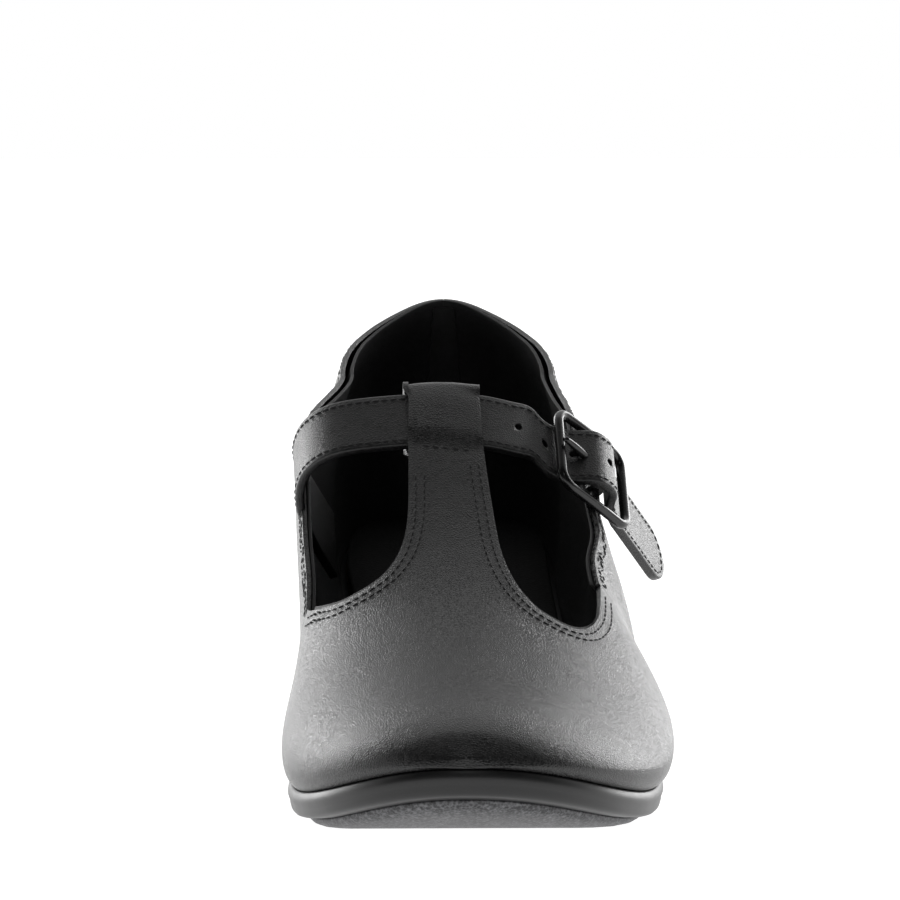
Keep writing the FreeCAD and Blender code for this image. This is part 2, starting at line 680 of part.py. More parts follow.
arch = [(-34.4, 31.5), (-36.0, 26.5), (-37.0, 20.5), (-36.6, 14.8), (-34.4, 9.0), (-30.2, 4.6),
        (-24.0, 2.1), (-14.0, 0.5), (-8.0, 0.13), (-2.2, 0.0), (4.0, 0.27), (8.0, 0.79),
        (14.0, 2.9), (18.6, 5.0)]
strap_path = [in_arch(x, drop) for x, drop in arch]
strap_path += [in_buckle(-half_along - 0.4, under_bar), in_buckle(-0.6 * half_along, 0.35 * under_bar),
               in_buckle(-0.28 * half_along, 0.78 * over_bar), in_buckle(0.0, over_bar),
               in_buckle(0.28 * half_along, 0.78 * over_bar), in_buckle(0.6 * half_along, 0.35 * under_bar),
               in_buckle(half_along, under_bar)]


def strap_skin(path, inner, outer, columns=61):
    """Band of the strap's width between two distances from its middle line."""
    curve = Part.BSplineCurve()
    curve.interpolate(path)
    grids = []
    for deep in (outer, inner):
        rows = []
        for i in range(columns):
            at = curve.FirstParameter + (curve.LastParameter - curve.FirstParameter) * i / (columns - 1.0)
            point, along = curve.value(at), curve.tangent(at)[0]
            out = along.cross(strap_across).normalize()
            rows.append([point + out * deep + strap_across * (HALF_STRAP * share)
                         for share in (-1.0, -0.3, 0.3, 1.0)])
        grids.append(rows)
    return skin(*grids)


prong_slot = Part.makeBox(0.62 * half_along, 2 * size("prongRadius") + 1.4, 14.0,
                          Vector(-0.66 * half_along, -size("prongRadius") - 0.7, -4.0))
prong_slot = prong_slot.transformed(buckle_frame_place.Matrix, True)
root_walls = [doc.getObject(side + wall).Shape for side in ("medial", "lateral")
              for wall in ("_quarter", "_quarter_lining")]
for name, inner, outer in (("ankle_strap", PLY, HALF_THICK), ("strap_lining", -HALF_THICK, 0.0)):
    ply_solid = strap_skin(strap_path, inner, outer).cut(prong_slot).cut(root_walls)
    feature(name, max(ply_solid.Solids, key=lambda piece: piece.Volume))

TAIL_TURN = 14.0  # degrees that the free end leans in from the strap's line
TAIL_GAP = 0.5
tail_hinge = FreeCAD.Placement(in_buckle(half_along + 0.35, under_bar), buckle_turn)
tail_frame = tail_hinge.multiply(local(axis=Vector(0, 1, 0), degrees=TAIL_TURN))
tail_band = primitive("Box", "tail_band", tail_frame.multiply(local(TAIL_GAP, -HALF_STRAP, -HALF_THICK)),
                      Length="Sizes.tailLength - Sizes.strapWidth / 2", Width="Sizes.strapWidth",
                      Height="Sizes.strapThick")
tail_tip = primitive("Cylinder", "tail_tip",
                     tail_frame.multiply(local(size("tailLength") - HALF_STRAP + TAIL_GAP, 0, -HALF_THICK)),
                     Radius="Sizes.strapWidth / 2", Height="Sizes.strapThick")
strap_tail = boolean("Fuse", "strap_tail", tail_band, tail_tip)

CORNER = 3.2  # radius of the buckle's corners, at the middle of the bars


def rounded_frame(half_x, half_y, radius):
    """Closed wire of a rounded rectangle: a side and an arc at each of its corners."""
    edges = []
    for sign_x, sign_y in ((-1, -1), (1, -1), (1, 1), (-1, 1)):
        centre = Vector(sign_x * (half_x - radius), sign_y * (half_y - radius), 0)
        out_x, out_y = Vector(sign_x * radius, 0, 0), Vector(0, sign_y * radius, 0)
        first, second = (out_x, out_y) if sign_x * sign_y > 0 else (out_y, out_x)
        middle = centre + (out_x + out_y) * math.sqrt(0.5)
        if edges:
            edges.append(Part.LineSegment(edges[-1].Vertexes[-1].Point, centre + first).toShape())
        edges.append(Part.Arc(centre + first, middle, centre + second).toShape())
    edges.append(Part.LineSegment(edges[-1].Vertexes[-1].Point, edges[0].Vertexes[0].Point).toShape())
    return Part.Wire(edges)


frame_wire = rounded_frame(half_along, half_across, CORNER)
frame_wire = Part.Wire(Part.sortEdges(frame_wire.Edges)[0])
first_point = frame_wire.Edges[0].Vertexes[0].Point
first_along = frame_wire.Edges[0].tangentAt(frame_wire.Edges[0].FirstParameter)
ring_section = Part.Wire(Part.Circle(first_point, first_along, BAR).toShape())
frame_ring = frame_wire.makePipeShell([ring_section], True, False, 1)
buckle_ring = feature("buckle_ring", frame_ring.transformed(buckle_frame_place.Matrix, True))
lying = Vector(1, 0, 0)
centre_bar = primitive("Cylinder", "centre_bar",
                       buckle_frame_place.multiply(local(0, half_across, 0, lying, 90)),
                       Radius="Sizes.barRadius", Height="Sizes.buckleAcross - 2 * Sizes.barRadius")
buckle_frame = boolean("Fuse", "buckle_frame", buckle_ring, centre_bar)

PRONG = size("prongRadius")
PRONG_SIDE = 0.2  # how far the prong's eye stands out beside the prong
prong_rise = BAR + PRONG + 0.25
eye = primitive("Cylinder", "prong_eye",
                buckle_frame_place.multiply(local(0, PRONG + PRONG_SIDE, 0, lying, 90)),
                Radius=RING, Height=2 * (PRONG + PRONG_SIDE))
arm_lean = math.degrees(math.atan2(prong_rise - RING + PRONG, half_along))
arm = primitive("Cylinder", "prong_arm",
                buckle_frame_place.multiply(local(-BAR, 0, RING - PRONG, Vector(0, 1, 0), arm_lean - 90)),
                Radius="Sizes.prongRadius", Height="Sizes.buckleAlong / 2 + 1.2")
bore = primitive("Cylinder", "bar_bore", buckle_frame_place.multiply(local(0, 20, 0, lying, 90)),
                 Radius="Sizes.barRadius + Sizes.pinGap", Height=40.0)
prong_blank = boolean("Fuse", "prong_blank", eye, arm)
buckle_prong = boolean("Cut", "buckle_prong", prong_blank, bore)

CHAPE_HALF = 6.6  # half width of the leather that holds the centre bar
CHAPE_TURN = 33.0
CHAPE_THICK = 2.2
CHAPE_LENGTH = 13.5
chape_ring = primitive("Cylinder", "chape_ring",
                       buckle_frame_place.multiply(local(0, CHAPE_HALF, 0, lying, 90)),
                       Radius=RING, Height=2 * CHAPE_HALF)
leg_frame = buckle_frame_place.multiply(local(axis=Vector(0, 1, 0), degrees=CHAPE_TURN))
chape_leg = primitive("Box", "chape_leg", leg_frame.multiply(local(0, -CHAPE_HALF, -RING)),
                      Length=CHAPE_LENGTH, Width=2 * CHAPE_HALF, Height=CHAPE_THICK)
chape_slot = primitive("Box", "chape_slot", buckle_frame_place.multiply(local(-5.0, -PRONG - 0.5, -4.5)),
                       Length=9.0, Width=2 * PRONG + 1.0, Height=9.0)
chape_blank = boolean("Fuse", "chape_blank", chape_ring, chape_leg)
chape_bored = boolean("Cut", "chape_bored", chape_blank, bore)
chape_solid = boolean("Cut", "chape_slotted", chape_bored, chape_slot).Shape
for wall in ("lateral_quarter", "lateral_quarter_lining"):
    chape_solid = chape_solid.cut(doc.getObject(wall).Shape)
buckle_chape = feature("buckle_chape", max(chape_solid.Solids, key=lambda piece: piece.Volume))

# ---------------------------------------------------------------- writing out

NODES = ["outsole", "insole_board", "footbed", "shank", "toe_tap", "toe_tap_screws", "heel_block",
         "heel_tap", "heel_tap_screws", "heel_nails", "vamp", "toe_puff", "vamp_lining",
         "t_strap_loop", "medial_quarter", "lateral_quarter", "medial_quarter_lining",
         "lateral_quarter_lining", "heel_counter", "back_tape", "ankle_strap", "strap_lining",
         "strap_tail", "buckle_frame", "buckle_prong", "buckle_chape"]

doc.recompute()
for item in doc.Objects:
    if "Invalid" in item.State or "Error" in item.State:
        raise RuntimeError(f"{item.Name} failed to compute")
os.makedirs("parts", exist_ok=True)
for node in NODES:
    shape = doc.getObject(node).Shape
    if shape.isNull() or not shape.isValid() or not shape.Solids:
        raise RuntimeError(f"{node} has no valid solid")
    shape.exportStep(f"parts/{node}.step")
    box = shape.BoundBox
    spans = f"x {box.XMin:.1f}..{box.XMax:.1f} y {box.YMin:.1f}..{box.YMax:.1f} z {box.ZMin:.1f}..{box.ZMax:.1f}"
    print(f"{node:24s} solids {len(shape.Solids)} volume {shape.Volume:9.1f} {spans}")
print("bar axis point", buckle_centre, "direction", strap_across)
print("tail hinge point", tail_hinge.Base, "direction", strap_across)
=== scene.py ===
import bmesh
import bpy
import json
import math
import random
from mathutils import Matrix, Vector
from mathutils.bvhtree import BVHTree


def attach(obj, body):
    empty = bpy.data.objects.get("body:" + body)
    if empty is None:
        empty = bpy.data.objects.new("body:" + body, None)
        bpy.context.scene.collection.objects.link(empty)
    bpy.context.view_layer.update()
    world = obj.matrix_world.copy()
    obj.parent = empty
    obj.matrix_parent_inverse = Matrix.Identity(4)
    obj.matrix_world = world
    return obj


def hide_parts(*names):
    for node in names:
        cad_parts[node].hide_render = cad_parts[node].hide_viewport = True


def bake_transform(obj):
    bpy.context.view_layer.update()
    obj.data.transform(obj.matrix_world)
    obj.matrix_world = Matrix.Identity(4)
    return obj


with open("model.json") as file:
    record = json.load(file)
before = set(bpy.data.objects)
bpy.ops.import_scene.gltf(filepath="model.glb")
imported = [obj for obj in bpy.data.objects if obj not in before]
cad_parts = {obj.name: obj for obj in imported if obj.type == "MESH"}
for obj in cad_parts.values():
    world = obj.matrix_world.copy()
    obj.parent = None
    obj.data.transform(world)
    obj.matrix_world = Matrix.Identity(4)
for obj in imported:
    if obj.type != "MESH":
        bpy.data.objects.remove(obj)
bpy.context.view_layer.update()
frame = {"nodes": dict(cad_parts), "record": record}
mm = 0.001
random.seed(11)
joints = {joint["name"]: joint for joint in frame["record"]["behaviour"]["joints"]}

# the last: the same curves that the frame was drawn on, in millimetres
# a station is the distance back from the toe tip, a half is a half width
last = {
    "length": 250.0, "heelCentre": 222.0, "heelHeight": 41.0, "toeSpring": 13.4,
    "soleThick": 6.0, "tapThick": 2.4, "welt": 1.4, "instepHeight": 78.5, "backHeight": 59.6,
    "sole": {-1: (39.2, None, 27.0, 31.0), 1: (47.9, None, 33.0, 31.0)},
    "upper": {-1: (41.0, 36.7, 37.8, 31.5), 1: (50.8, 44.0, 36.5, 31.5)},
    "ball": {-1: 75.0, 1: 90.0}, "hollow": 115.0, "waist": 152.5, "rear": 197.5, "seat": 235.0,
    "flatStart": 70.0, "flatEnd": 85.0, "planPower": 2.2, "rearPower": 2.1,
    "collarPoint": 0.35,
    "ridge": [(0.0, 0.03), (0.02, 0.126), (0.06, 0.223), (0.112, 0.30), (0.20, 0.405), (0.30, 0.531),
              (0.36, 0.65), (0.412, 0.771), (0.46, 0.889), (0.508, 1.0), (0.60, 1.08), (0.74, 0.96),
              (0.80, 0.91), (1.01, 0.90)],
    "collar": [(0.60, 0.95), (0.66, 0.94), (0.72, 0.90), (0.80, 0.85), (0.90, 0.878), (0.93, 0.905),
               (0.966, 0.951), (0.99, 0.988), (1.0, 1.0), (1.01, 1.003)],
    "topline": {-1: [(0.412, 0.55), (0.46, 0.66), (0.508, 0.75), (0.56, 0.86)],
                1: [(0.412, 0.68), (0.46, 0.75), (0.508, 0.79), (0.56, 0.87)]},
    "bulge": {-1: [(75.0, 0.18), (152.5, 0.46), (197.5, 0.24)],
              1: [(90.0, 0.18), (152.5, 0.30), (197.5, 0.24)]},
    "full": {-1: [(75.0, 1.9), (125.0, 2.3), (197.5, 2.3)],
             1: [(90.0, 1.4), (125.0, 1.5), (152.5, 2.0), (197.5, 2.3)]},
    "crown": 2.0, "under": [(90.0, 2.0), (152.5, 1.45), (197.5, 1.8)],
    "drift": [(0.0, 0.5), (75.0, 0.0), (125.0, -2.3), (197.5, 0.0)],
    "seam": 103.0,
}
inner, outer = -1, 1
contact = last["tapThick"] + last["soleThick"]


def ease(share):
    share = min(max(share, 0.0), 1.0)
    return share * share * (3.0 - 2.0 * share)


def knots(station, points):
    if station <= points[0][0]:
        return points[0][1]
    for (start, low), (end, high) in zip(points, points[1:]):
        if station <= end:
            return low + (high - low) * ease((station - start) / (end - start))
    return points[-1][1]


def through(station, points):
    final = len(points) - 1
    index = next((i for i in range(final) if station <= points[i + 1][0]), final - 1)

    def slope(i):
        before, after = points[max(i - 1, 0)], points[min(i + 1, final)]
        return (after[1] - before[1]) / (after[0] - before[0])

    (x0, y0), (x1, y1) = points[index], points[index + 1]
    span = x1 - x0
    share = (station - x0) / span
    return (y0 * (1 + 2 * share) * (1 - share) ** 2 + y1 * share ** 2 * (3 - 2 * share)
            + span * share * (1 - share) * (slope(index) * (1 - share) - slope(index + 1) * share))


def soleTop(station):
    spring = max(last["flatStart"] - station, 0.0) / last["flatStart"]
    lift = last["heelHeight"] - contact + last["soleThick"]
    rise = ease((station - last["flatEnd"]) / (last["seat"] - last["flatEnd"]))
    return contact + last["toeSpring"] * spring ** 2.2 + lift * rise


def planHalf(station, side, widths, inset=0.0):
    power, rearPower = last["planPower"], last["rearPower"]
    ballAt = last["ball"][side]
    if station < ballAt:
        reach = min(max((ballAt - station) / (ballAt - inset), 0.0), 1.0)
        return (widths[0] - inset) * (1.0 - reach ** power) ** (1.0 / power)
    bends = zip((ballAt, last["hollow"], last["waist"], last["rear"]), widths)
    wide = knots(station, [bend for bend in bends if bend[1]]) - inset
    if station <= last["rear"]:
        return wide
    reach = min((station - last["rear"]) / (last["length"] - inset - last["rear"]), 1.0)
    return wide * (1.0 - reach ** rearPower) ** (1.0 / rearPower)


def ridgeHeight(station):
    return soleTop(station) + last["instepHeight"] * through(station / last["length"], last["ridge"])


def toplineHeight(station, side):
    rise = through(station / last["length"], last["topline"][side] + last["collar"])
    return soleTop(station) + last["backHeight"] * rise


def wallShape(station, side, offset):
    floor, ridge = soleTop(station), ridgeHeight(station) - offset
    near = min(station, last["rear"])
    return {"floor": floor, "ridge": ridge,
            "bulge": floor + knots(station, last["bulge"][side]) * (ridge - floor),
            "full": knots(station, last["full"][side]), "under": knots(station, last["under"]),
            "drift": side * knots(station, last["drift"]),
            "foot": planHalf(near, side, last["sole"][side], last["welt"] + offset),
            "wide": planHalf(near, side, last["upper"][side], offset)}


def wallHalf(station, height, side, offset=0.0):
    wall = wallShape(station, side, offset)
    if height <= wall["bulge"]:
        reach = (wall["bulge"] - height) / (wall["bulge"] - wall["floor"])
        reach = min(max(reach, 0.0), 1.0)
        share = (1.0 - reach ** wall["under"]) ** (1.0 / wall["under"])
        return wall["foot"] + (wall["wide"] - wall["foot"]) * share
    reach = min((height - wall["bulge"]) / (wall["ridge"] - wall["bulge"]), 1.0)
    share = (1.0 - reach ** wall["full"]) ** (1.0 / max(wall["full"], last["crown"]))
    return wall["drift"] + (wall["wide"] - wall["drift"]) * share


def backStation(height):
    rise = (height - soleTop(last["length"])) / last["backHeight"]
    swell = 1.2 * math.sin(math.pi * min(max(rise, 0.0), 1.2))
    return last["length"] - 1.5 + swell - 3.0 * max(rise, 0.0) ** 2


def place(x, station, height):
    return Vector((x, station - last["heelCentre"], height)) * mm


def forePoint(station, turn, offset=0.0):
    # turn runs from -1 at the inner foot over the ridge at 0 to 1 at the outer foot
    side = outer if turn > 0 else inner
    wall = wallShape(station, side, offset)
    split = 0.66
    lean = abs(turn)
    if lean > split:
        angle = 0.5 * math.pi * (lean - split) / (1.0 - split)
        power = 2.0 / wall["under"]
        half = wall["foot"] + (wall["wide"] - wall["foot"]) * max(math.cos(angle), 0.0) ** power
        height = wall["bulge"] - (wall["bulge"] - wall["floor"]) * math.sin(angle) ** power
    else:
        angle = 0.5 * math.pi * lean / split
        around, upright = 2.0 / max(wall["full"], last["crown"]), 2.0 / wall["full"]
        half = wall["drift"] + (wall["wide"] - wall["drift"]) * math.sin(angle) ** around
        height = wall["bulge"] + (wall["ridge"] - wall["bulge"]) * math.cos(angle) ** upright
    return place(side * half, station, height)


def quarterPoint(side, along, up, offset=0.0, top=toplineHeight, start=last["seam"]):
    bend = 0.6
    rear = last["rear"]
    if along < bend:
        station = start + (rear - start) * along / bend
        height = soleTop(station) + up * (top(station, side) - soleTop(station))
        return place(side * wallHalf(station, height, side, offset), station, height)
    angle = 0.5 * math.pi * (along - bend) / (1.0 - bend)
    reach = math.sin(angle) ** (2.0 / last["rearPower"])
    station = rear + (last["length"] - rear) * reach
    height = soleTop(station) + up * (top(station, side) - soleTop(station))
    half = wallHalf(rear, soleTop(rear) + height - soleTop(station), side, offset)
    rise = min((height - soleTop(station)) / last["backHeight"], 1.0)
    power = 2.0 / (last["rearPower"] - last["collarPoint"] * rise)
    width = half * max(math.cos(angle), 0.0) ** power
    depth = (backStation(height) - offset - rear) * math.sin(angle) ** power
    return place(side * width, rear + depth, height)


# shader helpers
class Signal:
    # a number running through a material, so that sums are written as sums
    def __init__(self, tree, socket):
        self.tree = tree
        self.socket = socket

    def maths(self, operation, first, second):
        node = addNode(self.tree, "ShaderNodeMath", {"operation": operation}, {0: first, 1: second})
        return Signal(self.tree, node.outputs[0])

    def __add__(self, other):
        return self.maths("ADD", self, other)

    def __radd__(self, other):
        return self.maths("ADD", other, self)

    def __sub__(self, other):
        return self.maths("SUBTRACT", self, other)

    def __rsub__(self, other):
        return self.maths("SUBTRACT", other, self)

    def __mul__(self, other):
        return self.maths("MULTIPLY", self, other)

    def __rmul__(self, other):
        return self.maths("MULTIPLY", other, self)

    def __pow__(self, other):
        return self.maths("POWER", self, other)


def addNode(tree, kind, settings=None, inputs=None):
    node = tree.nodes.new(kind)
    for name, value in (settings or {}).items():
        if name == "stops":
            ramp = node.color_ramp
            while len(ramp.elements) < len(value):
                ramp.elements.new(0.5)
            for element, (position, colour) in zip(ramp.elements, value):
                element.position = position
                element.color = colour
        else:
            setattr(node, name, value)
    for name, value in (inputs or {}).items():
        if isinstance(value, Signal):
            tree.links.new(value.socket, node.inputs[name])
        elif isinstance(value, bpy.types.NodeSocket):
            tree.links.new(value, node.inputs[name])
        else:
            node.inputs[name].default_value = value
    return node


def grey(value):
    return (value, value, value * 1.04, 1.0)


def newMaterial(name, fixed):
    material = bpy.data.materials.new(name)
    material.use_nodes = True
    tree = material.node_tree
    shader = tree.nodes["Principled BSDF"]
    for socket, value in fixed.items():
        shader.inputs[socket].default_value = value
    return material, tree, shader


def objectPlace(tree, squeeze=(1.0, 1.0, 1.0), turn=(0.0, 0.0, 0.0)):
    coordinates = addNode(tree, "ShaderNodeTexCoord")
    mapping = addNode(tree, "ShaderNodeMapping", {}, {"Vector": coordinates.outputs["Object"]})
    mapping.inputs["Scale"].default_value = squeeze
    mapping.inputs["Rotation"].default_value = turn
    return mapping.outputs[0]


def noise(tree, where, scale, detail=2.0, roughness=0.5, distortion=0.0):
    node = addNode(tree, "ShaderNodeTexNoise", {}, {"Vector": where, "Scale": scale, "Detail": detail,
                                                   "Roughness": roughness, "Distortion": distortion})
    return Signal(tree, node.outputs["Fac"])


def cells(tree, where, scale, feature="DISTANCE_TO_EDGE", randomness=1.0):
    node = addNode(tree, "ShaderNodeTexVoronoi", {"feature": feature},
                   {"Vector": where, "Scale": scale, "Randomness": randomness})
    return Signal(tree, node.outputs["Distance"])


def ramp(tree, signal, stops):
    node = addNode(tree, "ShaderNodeValToRGB", {"stops": stops}, {"Fac": signal})
    return node.outputs["Color"]


def relief(tree, shader, layers):
    # bumps stacked from coarse to fine: (height, strength, depth in metres)
    normal = None
    for height, strength, depth in layers:
        inputs = {"Height": height, "Strength": strength, "Distance": depth}
        if normal is not None:
            inputs["Normal"] = normal
        normal = addNode(tree, "ShaderNodeBump", {}, inputs).outputs[0]
    tree.links.new(normal, shader.inputs["Normal"])


def leatherFinish(name, look):
    material, tree, shader = newMaterial(name, {"Specular IOR Level": look["shine"], "IOR": 1.5,
                                                "Coat Roughness": 0.42})
    where = objectPlace(tree)
    pores = cells(tree, where, look["pebbles"])
    fine = noise(tree, where, look["pebbles"] * 2.6, 3.0, 0.6)
    wrinkles = noise(tree, where, look["pebbles"] * 0.16, 3.0, 0.55, 0.4)
    cloud = noise(tree, where, 55.0, 2.0, 0.5)
    tone = cloud * 0.6 + fine * 0.4
    colour = ramp(tree, tone, [(0.3, grey(look["dark"])), (0.75, grey(look["light"]))])
    tree.links.new(colour, shader.inputs["Base Color"])
    rough = look["rough"] + (cloud - 0.5) * 0.12 + (fine - 0.5) * 0.14
    tree.links.new(rough.socket, shader.inputs["Roughness"])
    pebble = addNode(tree, "ShaderNodeMapRange", {"clamp": True},
                     {"Value": pores, "From Min": 0.0, "From Max": 0.28, "To Min": 0.0, "To Max": 1.0})
    relief(tree, shader, [(wrinkles, look["creases"], 0.0004), (pebble.outputs[0], look["grain"], 0.00008),
                          (fine, look["grain"] * 0.8, 0.00006)])
    return material


def buildMaterials():
    finishes = {}
    finishes["upper"] = leatherFinish("upper_leather", {
        "shine": 0.5, "rough": 0.29, "dark": 0.0035, "light": 0.0075, "pebbles": 1700.0,
        "grain": 0.8, "creases": 0.08})
    finishes["strap"] = leatherFinish("strap_leather", {
        "shine": 0.5, "rough": 0.33, "dark": 0.0035, "light": 0.007, "pebbles": 1750.0,
        "grain": 0.65, "creases": 0.08})
    finishes["heel"] = leatherFinish("heel_cover", {
        "shine": 0.5, "rough": 0.34, "dark": 0.005, "light": 0.009, "pebbles": 1400.0,
        "grain": 0.28, "creases": 0.06})
    finishes["lining"] = leatherFinish("lining_leather", {
        "shine": 0.3, "rough": 0.62, "dark": 0.014, "light": 0.03, "pebbles": 1900.0,
        "grain": 0.5, "creases": 0.1})
    finishes["footbed"] = leatherFinish("footbed_leather", {
        "shine": 0.2, "rough": 0.75, "dark": 0.003, "light": 0.006, "pebbles": 900.0,
        "grain": 0.5, "creases": 0.2})

    material, tree, shader = newMaterial("sole_black", {"Specular IOR Level": 0.45, "IOR": 1.5})
    where = objectPlace(tree)
    haze = noise(tree, where, 90.0, 3.0, 0.6)
    speck = noise(tree, where, 2600.0, 2.0, 0.6)
    tree.links.new(ramp(tree, haze * 0.5 + speck * 0.5, [(0.3, grey(0.006)), (0.7, grey(0.0115))]),
                   shader.inputs["Base Color"])
    tree.links.new((0.30 + haze * 0.14 + speck * 0.06).socket, shader.inputs["Roughness"])
    relief(tree, shader, [(haze, 0.05, 0.0004), (speck, 0.10, 0.00003)])
    finishes["sole"] = material

    material, tree, shader = newMaterial("tap_cast", {"Specular IOR Level": 0.5})
    where = objectPlace(tree)
    sand = noise(tree, where, 900.0, 4.0, 0.7)
    pits = cells(tree, where, 1500.0, "F1")
    scuff = noise(tree, objectPlace(tree, (1.0, 0.12, 1.0)), 420.0, 3.0, 0.6)
    tree.links.new(ramp(tree, sand * 0.55 + pits * 0.25 + scuff * 0.3,
                        [(0.30, grey(0.018)), (0.5, grey(0.06)), (0.72, grey(0.19))]),
                   shader.inputs["Base Color"])
    tree.links.new((0.42 + sand * 0.3).socket, shader.inputs["Roughness"])
    tree.links.new((0.35 + scuff * 0.5).socket, shader.inputs["Metallic"])
    relief(tree, shader, [(scuff, 0.3, 0.0001), (sand, 0.9, 0.00014), (pits, 0.5, 0.00006)])
    finishes["tap"] = material

    material, tree, shader = newMaterial("buckle_enamel", {"Specular IOR Level": 0.4, "Coat Roughness": 0.1,
                                                           "IOR": 1.5})
    where = objectPlace(tree)
    orange = noise(tree, where, 700.0, 2.0, 0.5)
    tree.links.new(ramp(tree, orange, [(0.3, grey(0.004)), (0.7, grey(0.006))]), shader.inputs["Base Color"])
    tree.links.new((0.20 + orange * 0.12).socket, shader.inputs["Roughness"])
    tree.links.new((0.1 + orange * 0.15).socket, shader.inputs["Coat Weight"])
    relief(tree, shader, [(orange, 0.06, 0.0001)])
    finishes["buckle"] = material

    material, tree, shader = newMaterial("thread_black", {"Specular IOR Level": 0.35, "Sheen Weight": 0.2})
    where = objectPlace(tree)
    fibre = noise(tree, where, 4200.0, 2.0, 0.5)
    tree.links.new(ramp(tree, fibre, [(0.3, grey(0.005)), (0.7, grey(0.016))]), shader.inputs["Base Color"])
    tree.links.new((0.5 + fibre * 0.25).socket, shader.inputs["Roughness"])
    relief(tree, shader, [(fibre, 0.6, 0.00008)])
    finishes["thread"] = material

    material, tree, shader = newMaterial("bright_steel", {"Specular IOR Level": 0.5})
    where = objectPlace(tree, (1.0, 8.0, 1.0))
    brush = noise(tree, where, 900.0, 2.0, 0.6)
    tree.links.new(ramp(tree, brush, [(0.3, grey(0.33)), (0.7, grey(0.55))]), shader.inputs["Base Color"])
    tree.links.new((0.22 + brush * 0.2).socket, shader.inputs["Roughness"])
    tree.links.new((0.85 + brush * 0.15).socket, shader.inputs["Metallic"])
    relief(tree, shader, [(brush, 0.1, 0.00005)])
    finishes["steel"] = material

    material, tree, shader = newMaterial("fibre_board", {"Specular IOR Level": 0.2})
    where = objectPlace(tree)
    pulp = noise(tree, where, 600.0, 4.0, 0.7)
    tree.links.new(ramp(tree, pulp, [(0.3, (0.06, 0.04, 0.025, 1.0)), (0.7, (0.13, 0.09, 0.055, 1.0))]),
                   shader.inputs["Base Color"])
    tree.links.new((0.7 + pulp * 0.2).socket, shader.inputs["Roughness"])
    relief(tree, shader, [(pulp, 0.4, 0.0001)])
    finishes["board"] = material
    return finishes


finish = buildMaterials()
print("materials ready:", len(finish))


# mesh helpers
def sheet(columns, rows, pointAt):
    bm = bmesh.new()
    bmesh.ops.create_grid(bm, x_segments=columns, y_segments=rows, size=0.5)
    for vert in bm.verts:
        vert.co = pointAt(vert.co.x + 0.5, vert.co.y + 0.5)
    return bm


def faceAway(bm, core):
    # turns an open sheet so that its faces look away from a core point
    bm.normal_update()
    lean = 0.0
    for face in bm.faces:
        middle = face.calc_center_median()
        lean += face.normal.dot(middle - core(middle)) * face.calc_area()
    if lean < 0:
        bmesh.ops.reverse_faces(bm, faces=bm.faces[:])


def shoeCore(point):
    return Vector((0.0, min(max(point.y, -0.19), 0.005), max(point.z * 0.6, 0.02)))


def closeUp(bm, distance=0.02):
    bmesh.ops.remove_doubles(bm, verts=bm.verts[:], dist=distance * mm)
    bmesh.ops.recalc_face_normals(bm, faces=bm.faces[:])


def makePiece(name, bm, material, body="shoe", smooth=True):
    mesh = bpy.data.meshes.new(name)
    bm.normal_update()
    bm.to_mesh(mesh)
    bm.free()
    for polygon in mesh.polygons:
        polygon.use_smooth = smooth
    piece = bpy.data.objects.new(name, mesh)
    bpy.context.scene.collection.objects.link(piece)
    piece.data.materials.append(material)
    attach(piece, body)
    return piece


def thicken(piece, thick, rim=0.22, even=True):
    shell = piece.modifiers.new("wall", "SOLIDIFY")
    shell.thickness = thick * mm
    shell.offset = -1.0
    shell.use_even_offset = even
    edge = piece.modifiers.new("rim", "BEVEL")
    edge.width = rim * mm
    edge.segments = 2
    edge.limit_method = "ANGLE"
    edge.angle_limit = math.radians(50)
    edge.harden_normals = False


def resample(points, spacing):
    lengths = [0.0]
    for before, after in zip(points, points[1:]):
        lengths.append(lengths[-1] + (after - before).length)
    count = max(int(lengths[-1] / (spacing * mm)), 2)
    result = []
    index = 0
    for step in range(count + 1):
        target = lengths[-1] * step / count
        while index < len(points) - 2 and lengths[index + 1] < target:
            index += 1
        span = max(lengths[index + 1] - lengths[index], 1e-9)
        result.append(points[index].lerp(points[index + 1], (target - lengths[index]) / span))
    return result


stitch = {"pitch": 2.1, "length": 1.72, "width": 0.50, "height": 0.30, "sink": 0.04}


def insetPath(points, surface, distance, better):
    # carries an edge over the surface by a distance, to the side that scores better
    moved = {1: [], -1: []}
    for i, point in enumerate(points):
        ahead, behind = points[min(i + 1, len(points) - 1)], points[max(i - 1, 0)]
        along = (ahead - behind).normalized()
        normal = surface.find_nearest(point)[1]
        sideways = normal.cross(along).normalized()
        for way in moved:
            moved[way].append(surface.find_nearest(point + sideways * distance * way * mm)[0])
    middle = len(points) // 2
    return max(moved.values(), key=lambda path: better(path[middle]))


def dropTo(points, surface, start, direction):
    # where rays from the points' own places meet the surface
    hits = []
    for point in points:
        origin = point.copy()
        origin.y = start
        hit = surface.ray_cast(origin, Vector(direction))[0]
        if hit is not None:
            hits.append(hit)
    return hits


def surfaceNormals(points, surface):
    return [surface.find_nearest(point)[1] for point in points]


